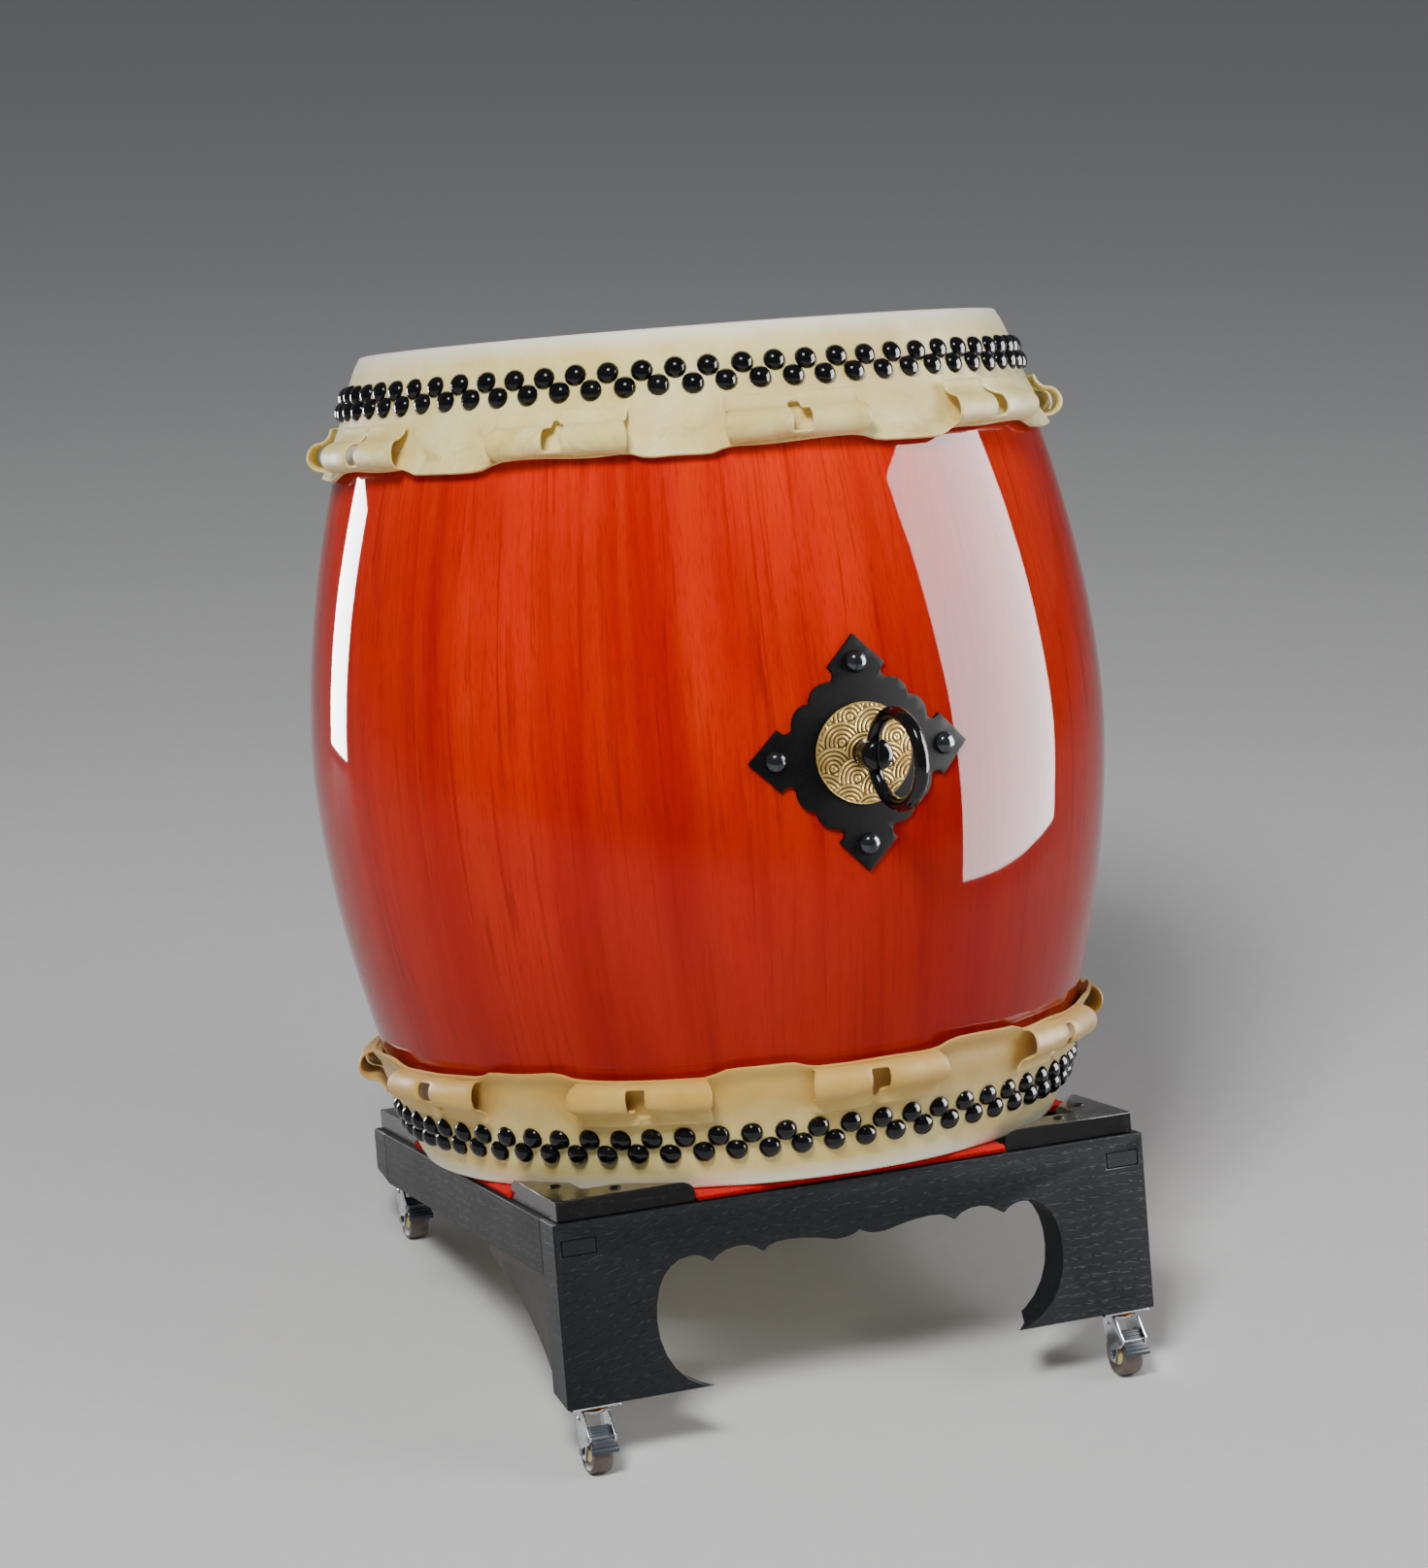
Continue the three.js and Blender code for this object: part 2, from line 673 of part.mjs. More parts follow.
// The origin is on the floor, under the middle of the whole object.
part.updateMatrixWorld(true);
const whole = new THREE.Box3().setFromObject(part, true);
const centre = whole.getCenter(new THREE.Vector3());
part.position.set(-centre.x, -centre.y, -whole.min.z);

export default part;
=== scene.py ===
# %% [markdown]
# # A barrel drum on a wheeled stand
# This lesson dresses a finished CAD model. The real object is a festival drum: a barrel
# hollowed from wood and lacquered red, with a hide tacked over each end, set leaning back
# on a black stand with four small casters. The CAD model gives the sizes and places, and we
# model finer shapes over them. We load it first.

# %% Load the CAD model
import json
import math
import random

import bmesh
import bpy
from mathutils import Matrix, Vector
from mathutils import noise as smooth_noise


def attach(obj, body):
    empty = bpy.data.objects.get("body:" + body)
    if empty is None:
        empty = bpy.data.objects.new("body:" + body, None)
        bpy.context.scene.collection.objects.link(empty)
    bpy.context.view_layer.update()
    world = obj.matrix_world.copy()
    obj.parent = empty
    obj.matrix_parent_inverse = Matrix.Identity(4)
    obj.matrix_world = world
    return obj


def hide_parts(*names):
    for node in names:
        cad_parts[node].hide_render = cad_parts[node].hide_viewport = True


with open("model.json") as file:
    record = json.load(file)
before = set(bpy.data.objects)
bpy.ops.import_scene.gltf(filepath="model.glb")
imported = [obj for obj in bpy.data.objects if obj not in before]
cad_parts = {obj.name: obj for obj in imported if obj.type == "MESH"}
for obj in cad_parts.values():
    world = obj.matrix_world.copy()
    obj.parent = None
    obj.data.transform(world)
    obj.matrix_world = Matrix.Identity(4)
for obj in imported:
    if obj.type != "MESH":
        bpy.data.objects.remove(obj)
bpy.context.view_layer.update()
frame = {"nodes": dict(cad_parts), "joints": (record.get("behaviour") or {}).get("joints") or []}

print("CAD nodes:", len(frame["nodes"]))

# %% [markdown]
# ## Two leaning frames of reference
# The top of the stand leans back, and the drum leans with it. It is far easier to model a
# barrel upright, round its own middle, and to lean it once it is done. The slide that lifts
# the drum out of the stand gives the lean, and the two ring hinges sit either side of the
# drum's middle, so both come from the frame's joints.

# %% Find the drum's middle and the stand's top
JOINTS = {joint["name"]: joint for joint in frame["joints"]}
UP_THE_DRUM = Vector(JOINTS["drum_lift"]["axis"])
LEAN = Matrix.Rotation(-math.atan2(UP_THE_DRUM.y, UP_THE_DRUM.z), 4, "X")
HINGES = [Vector(JOINTS[end + "_ring_swing"]["pos_m"]) for end in ("front", "back")]
MIDDLE = (HINGES[0] + HINGES[1]) / 2
DRUM = Matrix.Translation(MIDDLE) @ LEAN

HALF = 0.3015  # half of the drum's height
BELLY = 0.300  # the shell's radius at the middle
SHELL_END = 0.2377  # and at either end
SHELL_WALL = 0.026
HIDE = 0.003  # the thickness of the CAD model's hide
CLEARANCE = 0.0003  # the gap that the CAD model leaves between touching nodes
FELT_AND_GAP = 0.0066
STAND_TOP = MIDDLE - UP_THE_DRUM * (HALF + FELT_AND_GAP)
STAND = Matrix.Translation(STAND_TOP) @ LEAN


def barrel(z):
    """The shell's outer radius, z above the drum's middle."""
    return BELLY - (BELLY - SHELL_END) * abs(z / HALF) ** 1.8


print("the drum's middle:", [round(v, 4) for v in MIDDLE])

# %% [markdown]
# ## Camera
# A long lens from a little above, turned 22 degrees to the left of the stand's front. The
# small shift keeps the object where it stands in the frame.

# %% Camera
AZIMUTH = math.radians(-22.07)
ELEVATION = math.radians(15.08)
DISTANCE = 2.789
TARGET = MIDDLE + Vector((0.0218, -0.06406, 0.06167))

backwards = Vector((
    math.sin(AZIMUTH) * math.cos(ELEVATION),
    -math.cos(AZIMUTH) * math.cos(ELEVATION),
    math.sin(ELEVATION),
))
camera_data = bpy.data.cameras.new("camera")
camera_data.sensor_width = 36.0
camera_data.lens = 86.16
camera_data.shift_x = -0.0337
camera_data.shift_y = -0.0728
camera_data.clip_end = 50.0
camera = bpy.data.objects.new("camera", camera_data)
camera.location = TARGET + backwards * DISTANCE
camera.rotation_euler = backwards.to_track_quat("Z", "Y").to_euler()
bpy.context.collection.objects.link(camera)
bpy.context.scene.camera = camera
print("camera at", [round(v, 3) for v in camera.location])

# %% [markdown]
# ## Small tools for modelling
# Blender's operators act on whatever is selected, so each tool first clears the selection
# and then picks its own piece, or its own faces, in code. A profile starts as one vertex
# and is drawn by extruding it from point to point, as one would with a mouse.

# %% Selecting and editing
MM = 0.001


def moved(x, y, z):
    return Matrix.Translation((x, y, z))


def rotated(degrees, axis):
    return Matrix.Rotation(math.radians(degrees), 4, axis)


def fresh(add_primitive, **settings):
    """A new primitive, alone in the selection."""
    bpy.ops.object.select_all(action="DESELECT")
    add_primitive(**settings)
    return bpy.context.active_object


def activate(*pieces):
    """Selects only these pieces. The first one is the active one."""
    bpy.ops.object.select_all(action="DESELECT")
    for piece in pieces:
        piece.select_set(True)
    bpy.context.view_layer.objects.active = pieces[0]


def edit(piece, kind="VERT", choose=lambda element: True):
    """Opens a piece in edit mode with only what choose() accepts selected."""
    activate(piece)
    bpy.ops.object.mode_set(mode="EDIT")
    bpy.ops.mesh.select_mode(type=kind)
    bpy.ops.mesh.select_all(action="DESELECT")
    mesh = bmesh.from_edit_mesh(piece.data)
    rows = {"VERT": mesh.verts, "EDGE": mesh.edges, "FACE": mesh.faces}
    for element in rows[kind]:
        if choose(element):
            element.select_set(True)
    mesh.select_flush_mode()
    bmesh.update_edit_mesh(piece.data)


def close():
    bpy.ops.object.mode_set(mode="OBJECT")


def extrude(step):
    """Extrudes what is selected in edit mode."""
    bpy.ops.mesh.extrude_region_move(TRANSFORM_OT_translate={"value": step})


def modify(piece, kind, **settings):
    """Adds a modifier and applies it at once."""
    activate(piece)
    modifier = piece.modifiers.new(kind.lower(), kind)
    for name, value in settings.items():
        setattr(modifier, name, value)
    bpy.ops.object.modifier_apply(modifier=modifier.name)


def clean(piece, flat=0.0, outwards=True):
    """Merges doubles, dissolves flat edges where flat is an angle, and turns faces out."""
    edit(piece)
    bpy.ops.mesh.remove_doubles(threshold=0.01 * MM)
    if flat:
        bpy.ops.mesh.dissolve_limited(angle_limit=math.radians(flat))
    if outwards:
        bpy.ops.mesh.normals_make_consistent(inside=False)
    close()


def smooth(piece, angle=35.0):
    activate(piece)
    bpy.ops.object.shade_smooth_by_angle(angle=math.radians(angle))


def shape(piece, move):
    """Moves every vertex to move(its place)."""
    for vertex in piece.data.vertices:
        vertex.co = move(vertex.co)
    piece.data.update()


def twin(piece, name, matrix):
    """A copy with a mesh of its own, moved by a matrix."""
    made = bpy.data.objects.new(name, piece.data.copy())
    bpy.context.collection.objects.link(made)
    made.data.transform(matrix)
    return made


def gather(pieces, name):
    """Joins pieces into one object."""
    activate(*pieces)
    bpy.ops.object.join()
    pieces[0].name = name
    return pieces[0]


def discard(piece):
    bpy.data.objects.remove(piece)


# %% Drawing and turning profiles
def draw(name, points, closed=False):
    """An edge chain through the points, extruded from a single vertex."""
    piece = fresh(bpy.ops.mesh.primitive_plane_add, size=1 * MM)
    piece.name = name
    bpy.ops.object.mode_set(mode="EDIT")
    bpy.ops.mesh.select_mode(type="VERT")
    bpy.ops.mesh.select_all(action="SELECT")
    bpy.ops.mesh.merge(type="CENTER")
    bpy.ops.transform.translate(value=points[0])
    for start, end in zip(points, points[1:]):
        extrude(Vector(end) - Vector(start))
    if closed:
        ends = [Vector(points[0]), Vector(points[-1])]
        close()
        edit(piece, "VERT", lambda v: min((v.co - end).length for end in ends) < 0.01 * MM)
        bpy.ops.mesh.edge_face_add()
    close()
    return piece


def spin(piece, angle, steps):
    """Turns a drawn profile clockwise round Z into a surface."""
    edit(piece)
    bpy.ops.mesh.spin(steps=steps, angle=math.radians(angle), axis=(0, 0, 1), center=(0, 0, 0))
    close()
    clean(piece, outwards=abs(angle) == 360)


def turned(name, profile, steps, closed=False):
    """A solid turned round Z from its (radius, height) profile."""
    piece = draw(name, [(radius, 0, height) for radius, height in profile], closed)
    spin(piece, 360, steps)
    return piece


def outward(piece, middle):
    """Turns the faces of an open sheet away from middle(face centre)."""
    polygons = piece.data.polygons
    votes = sum((p.center - middle(p.center)).dot(p.normal) for p in polygons)
    if votes < 0:
        piece.data.flip_normals()


def soften(piece, width, segments=2, sharp=40.0, edges=0):
    """Bevels every edge that is sharper than an angle. The bevel takes finish number edges."""
    polygons = piece.data.polygons
    polygons.foreach_set("material_index", [0] * len(polygons))
    piece.data.materials.clear()
    for _ in range(edges + 1):
        piece.data.materials.append(None)
    modify(piece, "BEVEL", width=width, segments=segments, limit_method="ANGLE",
           angle_limit=math.radians(sharp), material=edges)


# %% Taking a CAD node's own shape
def replica(node, chamfer=0.0, segments=2, sharp=35.0, edges=0):
    """A merged copy of a CAD node, its sharp edges softened and given finish number edges."""
    piece = bpy.data.objects.new(node + "_shape", frame["nodes"][node].data.copy())
    bpy.context.collection.objects.link(piece)
    clean(piece, flat=1.0, outwards=False)
    if chamfer:
        soften(piece, chamfer, segments, sharp, edges)
    return piece


# %% Handing a piece over
TALLY = []


def finish(piece, finishes, slot, body, *nodes):
    """Gives a finished piece its materials, its body and the nodes it replaces. The slot is not
    used.
    """
    piece.data.materials.clear()
    for name in finishes.split():
        piece.data.materials.append(FINISHES[name])
    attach(piece, body)
    if nodes:
        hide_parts(*nodes)
    TALLY.append(piece.name)
    return piece


print("tools ready")

# %% [markdown]
# ## Tools for materials
# A material here is a small network of nodes. One helper adds a node and fills its inputs,
# with a value or with a link, so that a network reads from top to bottom. Patterns follow
# Object coordinates, leaned by a Mapping node so that grain runs along the drum.

# %% Adding nodes
def add(tree, kind, inputs=None, **settings):
    """A new node. A socket given as an input is linked, and anything else is set."""
    made = tree.nodes.new(kind)
    for name, value in settings.items():
        setattr(made, name, value)
    for name, value in (inputs or {}).items():
        if isinstance(value, bpy.types.NodeSocket):
            tree.links.new(value, made.inputs[name])
        else:
            made.inputs[name].default_value = value
    return made


def srgb(red, green, blue):
    """A colour as paint charts give it, 0 to 255, in the linear form that nodes take."""
    def linear(value):
        value /= 255
        return value / 12.92 if value <= 0.04045 else ((value + 0.055) / 1.055) ** 2.4
    return (linear(red), linear(green), linear(blue), 1.0)


def noise(tree, vector, scale, detail=3.0, roughness=0.5, distortion=0.0):
    return add(tree, "ShaderNodeTexNoise", {
        "Vector": vector, "Scale": scale, "Detail": detail,
        "Roughness": roughness, "Distortion": distortion,
    }).outputs["Fac"]


def stretch(tree, value, low, high, to_low=0.0, to_high=1.0):
    """Maps low..high to to_low..to_high, and stops there."""
    return add(tree, "ShaderNodeMapRange", {
        "Value": value, "From Min": low, "From Max": high,
        "To Min": to_low, "To Max": to_high,
    }).outputs["Result"]


def mix(tree, factor, first, second, blend_type="MIX"):
    """A colour between two colours."""
    made = add(tree, "ShaderNodeMix", {0: factor, 6: first, 7: second},
               data_type="RGBA", blend_type=blend_type)
    return made.outputs[2]


def maths(tree, operation, first, second=0.0):
    return add(tree, "ShaderNodeMath", {0: first, 1: second}, operation=operation).outputs[0]


def bump(tree, height, strength, distance):
    return add(tree, "ShaderNodeBump", {
        "Height": height, "Strength": strength, "Distance": distance,
    }).outputs["Normal"]


def place_in(tree, matrix, scale=(1, 1, 1)):
    """Object coordinates, seen from a leaning frame and then scaled."""
    place = add(tree, "ShaderNodeTexCoord").outputs["Object"]
    place = add(tree, "ShaderNodeMapping", {
        "Vector": place, "Location": matrix.translation, "Rotation": matrix.to_euler(),
    }, vector_type="TEXTURE").outputs["Vector"]
    return add(tree, "ShaderNodeMapping", {"Vector": place, "Scale": scale}).outputs["Vector"]


FINISHES = {}


def start(name, **values):
    """A new material. Values that are the same all over go on the shader's own sockets."""
    made = bpy.data.materials.new(name + "_finish")
    made.use_nodes = True
    FINISHES[name] = made
    shader = made.node_tree.nodes["Principled BSDF"]
    for socket, value in values.items():
        shader.inputs[socket.replace("_", " ")].default_value = value
    return made.node_tree, shader


def feed(tree, shader, **sockets):
    for socket, value in sockets.items():
        tree.links.new(value, shader.inputs[socket.replace("_", " ")])


# %% Groups that several finishes share
def new_group(name, inputs, outputs):
    tree = bpy.data.node_groups.new(name, "ShaderNodeTree")
    for socket, kind in inputs.items():
        tree.interface.new_socket(socket, in_out="INPUT", socket_type=kind)
    for socket in outputs:
        tree.interface.new_socket(socket, in_out="OUTPUT", socket_type="NodeSocketFloat")
    return tree, tree.nodes.new("NodeGroupInput").outputs, tree.nodes.new("NodeGroupOutput")


def use_group(tree, group, **inputs):
    made = tree.nodes.new("ShaderNodeGroup")
    made.node_tree = group
    for name, value in inputs.items():
        if isinstance(value, bpy.types.NodeSocket):
            tree.links.new(value, made.inputs[name])
        else:
            made.inputs[name].default_value = value
    return made.outputs


# Handling: broad smudges and fine specks, for anything that is touched.
tree, given, result = new_group(
    "handling", {"Vector": "NodeSocketVector", "Size": "NodeSocketFloat"}, ["Smudges", "Specks"])
broad = noise(tree, given["Vector"], 1.0, 4.0, 0.6)
tree.links.new(given["Size"], broad.node.inputs["Scale"])
fine = noise(tree, given["Vector"], 1.0, 2.0, 0.5)
tree.links.new(maths(tree, "MULTIPLY", given["Size"], 14.0), fine.node.inputs["Scale"])
tree.links.new(stretch(tree, broad, 0.35, 0.7), result.inputs["Smudges"])
tree.links.new(stretch(tree, fine, 0.55, 0.75), result.inputs["Specks"])
HANDLING = tree

# Open grain: short pores in lines, from how far a point is across and along the grain.
tree, given, result = new_group(
    "open_grain", {"Across": "NodeSocketFloat", "Along": "NodeSocketFloat",
                   "Depth": "NodeSocketFloat"}, ["Pores", "Bands"])
wander = add(tree, "ShaderNodeCombineXYZ", {
    "X": maths(tree, "MULTIPLY", given["Across"], 20.0),
    "Y": maths(tree, "MULTIPLY", given["Along"], 5.0),
    "Z": maths(tree, "MULTIPLY", given["Depth"], 20.0)}).outputs[0]
drift = maths(tree, "MULTIPLY", noise(tree, wander, 1.0, 2.0), 0.012)
across = maths(tree, "ADD", given["Across"], drift)
rings = maths(tree, "SINE", maths(tree, "MULTIPLY", across, 900.0))
bands = stretch(tree, rings, -0.6, 0.9)
pore_place = add(tree, "ShaderNodeCombineXYZ", {
    "X": maths(tree, "MULTIPLY", across, 1300.0),
    "Y": maths(tree, "MULTIPLY", given["Along"], 150.0),
    "Z": maths(tree, "MULTIPLY", given["Depth"], 300.0)}).outputs[0]
pores = stretch(tree, noise(tree, pore_place, 1.0, 2.0, 0.6), 0.56, 0.66)
tree.links.new(maths(tree, "MULTIPLY", pores, bands), result.inputs["Pores"])
tree.links.new(bands, result.inputs["Bands"])
OPEN_GRAIN = tree
print("node groups:", [group.name for group in bpy.data.node_groups])

# %% [markdown]
# ## Red lacquer
# The shell is one hollowed log under clear red lacquer. Its grain runs up the barrel and
# closes in towards the ends, as the staves of a cask would. We get that by making the
# distance from the axis one unit long, which leaves only the direction and the height:
# noise that is stretched along the height then gives lines that follow the barrel's bulge.

# %% Lacquer
tree, shader = start("lacquer", Roughness=0.3, Coat_Weight=1.0, Coat_Roughness=0.03,
                     Coat_IOR=1.31, Specular_IOR_Level=0.0)
place = place_in(tree, DRUM)
parts = add(tree, "ShaderNodeSeparateXYZ", {"Vector": place}).outputs
flat = add(tree, "ShaderNodeCombineXYZ", {"X": parts["X"], "Y": parts["Y"]}).outputs[0]
round_it = add(tree, "ShaderNodeVectorMath", {0: flat}, operation="NORMALIZE").outputs[0]


def meridian(rise):
    """Direction round the axis, with the height added in as a slow change."""
    lift = add(tree, "ShaderNodeCombineXYZ",
               {"Z": maths(tree, "MULTIPLY", parts["Z"], rise)}).outputs[0]
    return add(tree, "ShaderNodeVectorMath", {0: round_it, 1: lift}, operation="ADD").outputs[0]


boards = noise(tree, meridian(0.35), 3.6, 3.0, 0.5, 0.5)
strips = noise(tree, meridian(0.14), 15.0, 3.0, 0.6, 0.4)
lines = noise(tree, meridian(0.12), 44.0, 4.0, 0.62, 0.9)
hairs = noise(tree, meridian(0.35), 210.0, 2.0, 0.6)
cloud = noise(tree, place, 9.0, 3.0)
colour = mix(tree, stretch(tree, boards, 0.36, 0.64), srgb(180, 0, 0), srgb(230, 42, 0))
colour = mix(tree, stretch(tree, strips, 0.42, 0.72, 0.0, 0.5), colour, srgb(236, 60, 0))
colour = mix(tree, stretch(tree, lines, 0.54, 0.72, 0.0, 0.6), colour, srgb(124, 0, 0))
colour = mix(tree, stretch(tree, hairs, 0.5, 0.8, 0.0, 0.45), colour, srgb(140, 0, 0))
colour = mix(tree, stretch(tree, cloud, 0.4, 0.7, 0.0, 0.25), colour, srgb(165, 4, 0))
# Painted shade: the lacquer turns a deeper red towards the drum's lower end.
painted_low_shade = stretch(tree, parts["Z"], 0.20, -HALF * 0.8, 0.0, 0.66)
colour = mix(tree, painted_low_shade, colour, srgb(122, 0, 0))
smudges = use_group(tree, HANDLING, Vector=place, Size=7.0)["Smudges"]
feed(tree, shader, Base_Color=colour,
     Roughness=stretch(tree, smudges, 0.0, 1.0, 0.26, 0.36),
     Normal=bump(tree, strips, 0.05, 0.001),
     Coat_Normal=bump(tree, noise(tree, meridian(0.5), 9.0, 2.0), 0.05, 0.002))

# %% [markdown]
# ## Rawhide
# The hides are cream, mottled where the skin was thicker and stained where the ears were
# handled. They are painted whiter along the rim, a painted highlight, and painted shade
# makes the lower hide a darker, warmer tan and a roll of hide darker and browner inside,
# so a roll's inner wall has its own finish.

# %% Rawhide
def rawhide(name, light, dark, stain):
    tree, shader = start(name, Roughness=0.5, Specular_IOR_Level=0.4, Sheen_Weight=0.12)
    place = place_in(tree, DRUM)
    height = add(tree, "ShaderNodeSeparateXYZ", {"Vector": place}).outputs["Z"]
    mottle = noise(tree, place, 17.0, 5.0, 0.62, 0.6)
    patches = noise(tree, place, 6.0, 3.0, 0.5, 0.8)
    pores = noise(tree, place, 900.0, 2.0)
    fibres = noise(tree, place_in(tree, DRUM, (1, 1, 0.25)), 160.0, 4.0, 0.6)
    colour = mix(tree, stretch(tree, mottle, 0.36, 0.64), light, dark)
    colour = mix(tree, stretch(tree, patches, 0.5, 0.75, 0.0, 0.6), colour, stain)
    colour = mix(tree, stretch(tree, fibres, 0.58, 0.8, 0.0, 0.3), colour, dark)
    from_middle = maths(tree, "ABSOLUTE", height)
    # Painted shade: the lower hide, its skirt most of all, is multiplied to a darker, warmer tan.
    lower = maths(tree, "MULTIPLY", stretch(tree, height, 0.15, -0.15),
                  stretch(tree, from_middle, HALF - 0.03, HALF - 0.07, 0.25, 1.0))
    colour = mix(tree, lower, colour, srgb(222, 192, 142), "MULTIPLY")
    handled = maths(tree, "MULTIPLY", stretch(tree, from_middle, HALF - 0.045, HALF - 0.075),
                    stretch(tree, noise(tree, place, 34.0, 5.0, 0.7, 1.0), 0.5, 0.72, 0.0, 0.75))
    colour = mix(tree, handled, colour, stain)
    # Painted highlight: both hides are mixed towards white along the rim.
    rim = stretch(tree, from_middle, HALF - 0.014, HALF - 0.002)
    colour = mix(tree, maths(tree, "MULTIPLY", rim, 0.8), colour, srgb(255, 251, 234))
    grain = maths(tree, "ADD", pores, maths(tree, "MULTIPLY", fibres, 2.0))
    feed(tree, shader, Base_Color=colour,
         Roughness=stretch(tree, mottle, 0.3, 0.7, 0.42, 0.6),
         Normal=bump(tree, grain, 0.25, 0.0004))


rawhide("rawhide", srgb(255, 244, 176), srgb(240, 216, 126), srgb(206, 166, 78))
# Painted shade: a darker, browner copy of the rawhide for the rolled ears' inner walls.
rawhide("rawhide_inside", srgb(168, 122, 62), srgb(128, 84, 36), srgb(96, 58, 22))

# %% [markdown]
# ## Black metal and embossed brass
# Tacks, rings and eyebolts are glossy enamel; the plates are satin. The disc's colour
# follows its relief: a height that we store on the mesh as an attribute darkens the grooves.

# %% Enamel and satin black
def black_metal(name, roughness, smudge, coat):
    tree, shader = start(name, Roughness=roughness, Coat_Weight=coat, Coat_Roughness=0.06,
                         Specular_IOR_Level=0.15)
    place = place_in(tree, DRUM)
    marks = use_group(tree, HANDLING, Vector=place, Size=40.0)
    colour = mix(tree, marks["Smudges"], srgb(6, 6, 8), srgb(14, 14, 16))
    colour = mix(tree, maths(tree, "MULTIPLY", marks["Specks"], 0.06), colour, srgb(90, 88, 84))
    feed(tree, shader, Base_Color=colour,
         Roughness=stretch(tree, marks["Smudges"], 0.0, 1.0, roughness, roughness + smudge),
         Normal=bump(tree, noise(tree, place, 260.0, 2.0), 0.06, 0.0005))


black_metal("enamel", 0.1, 0.08, 0.5)
black_metal("satin_black", 0.55, 0.1, 0.0)

tree, shader = start("embossed_brass", Metallic=0.6, Roughness=0.36)
relief = add(tree, "ShaderNodeAttribute", attribute_name="relief").outputs["Fac"]
place = place_in(tree, DRUM)
marks = use_group(tree, HANDLING, Vector=place, Size=60.0)
bright = mix(tree, marks["Smudges"], srgb(240, 208, 122), srgb(206, 160, 80))
colour = mix(tree, stretch(tree, relief, 0.15, 0.75), srgb(74, 52, 22), bright)
feed(tree, shader, Base_Color=colour,
     Roughness=stretch(tree, relief, 0.0, 1.0, 0.6, 0.3),
     Normal=bump(tree, noise(tree, place, 700.0, 2.0), 0.15, 0.0003))
print("finishes so far:", list(FINISHES))

# %% [markdown]
# ## Black stained wood
# The stand is an open-grained wood. Black stain hides its colour, but its pores stay a
# little paler and show as short dashes along the growth rings. On the front board the rings
# are wide arcs, so a point's distance from a far centre tells how far across the grain it
# is, and its angle tells how far along. On the other pieces the grain simply runs lengthwise.

# %% Stained wood
def stained(name, across_axis, along_axis, depth_axis, base, pore, arc=None,
            roughness=0.42, coat=0.0, strength=0.75):
    """Open-grained wood. The axes are the stand's, and an arc is the rings' centre (x, z)."""
    tree, shader = start(name, Roughness=roughness, Coat_Weight=coat, Coat_Roughness=0.12,
                         Specular_IOR_Level=0.25)
    place = place_in(tree, STAND)
    parts = add(tree, "ShaderNodeSeparateXYZ", {"Vector": place}).outputs
    across, along = parts[across_axis], parts[along_axis]
    if arc:
        centre_x, centre_z = arc
        right = maths(tree, "SUBTRACT", parts["X"], centre_x)
        up = maths(tree, "SUBTRACT", parts["Z"], centre_z)
        squares = maths(tree, "ADD", maths(tree, "MULTIPLY", right, right),
                        maths(tree, "MULTIPLY", up, up))
        across = maths(tree, "SQRT", squares)
        along = maths(tree, "MULTIPLY", maths(tree, "ARCTAN2", up, right), -centre_z)
    grain = use_group(tree, OPEN_GRAIN, Across=across, Along=along, Depth=parts[depth_axis])
    marks = use_group(tree, HANDLING, Vector=place, Size=14.0)
    darker = mix(tree, 0.45, base, (0, 0, 0, 1))
    colour = mix(tree, grain["Bands"], base, darker)
    colour = mix(tree, maths(tree, "MULTIPLY", grain["Pores"], strength), colour, pore)
    colour = mix(tree, maths(tree, "MULTIPLY", marks["Smudges"], 0.3), colour, darker)
    feed(tree, shader, Base_Color=colour,
         Roughness=stretch(tree, marks["Smudges"], 0.0, 1.0, roughness, roughness + 0.12),
         Normal=bump(tree, grain["Pores"], 0.35, -0.0004))


NIGHT = srgb(20, 24, 29)
PALE_PORE = srgb(92, 100, 108)
stained("front_wood", "Z", "X", "Y", NIGHT, PALE_PORE, arc=(0.16, -1.30), strength=0.32)
stained("rail_wood", "Z", "Y", "X", srgb(12, 16, 21), PALE_PORE, roughness=0.6, strength=0.16)
stained("back_wood", "Z", "X", "Y", NIGHT, PALE_PORE, strength=0.3)
# Painted highlight: a paler stain for the bevels, the edges that catch the light.
stained("worn_edge", "Z", "X", "Y", srgb(104, 112, 122), srgb(136, 142, 148), strength=0.4)
stained("block_wood", "Y", "X", "Z", srgb(26, 24, 24), srgb(58, 50, 44), roughness=0.22,
        coat=0.6, strength=0.4)
stained("gusset_wood", "Y", "Z", "X", srgb(58, 48, 42), srgb(96, 84, 74), roughness=0.5,
        strength=0.6)

# %% [markdown]
# ## Felt, chrome, rubber and plastic
# The felt's ribs are modelled, so its finish only has to look fibrous. Plated steel is
# nearly a mirror with a few dull smudges, and the casters' treads are a brownish grey.

# %% Felt and the casters' finishes
tree, shader = start("red_felt", Roughness=0.95, Sheen_Weight=0.08, Sheen_Roughness=0.5,
                     Specular_IOR_Level=0.05)
place = place_in(tree, STAND)
fibres = noise(tree, place, 1500.0, 3.0, 0.7)
tufts = noise(tree, place, 140.0, 4.0, 0.6)
colour = mix(tree, stretch(tree, fibres, 0.3, 0.7), srgb(192, 4, 4), srgb(232, 22, 16))
colour = mix(tree, stretch(tree, tufts, 0.5, 0.8, 0.0, 0.5), colour, srgb(166, 8, 10))
feed(tree, shader, Base_Color=colour, Normal=bump(tree, fibres, 0.5, 0.0006))


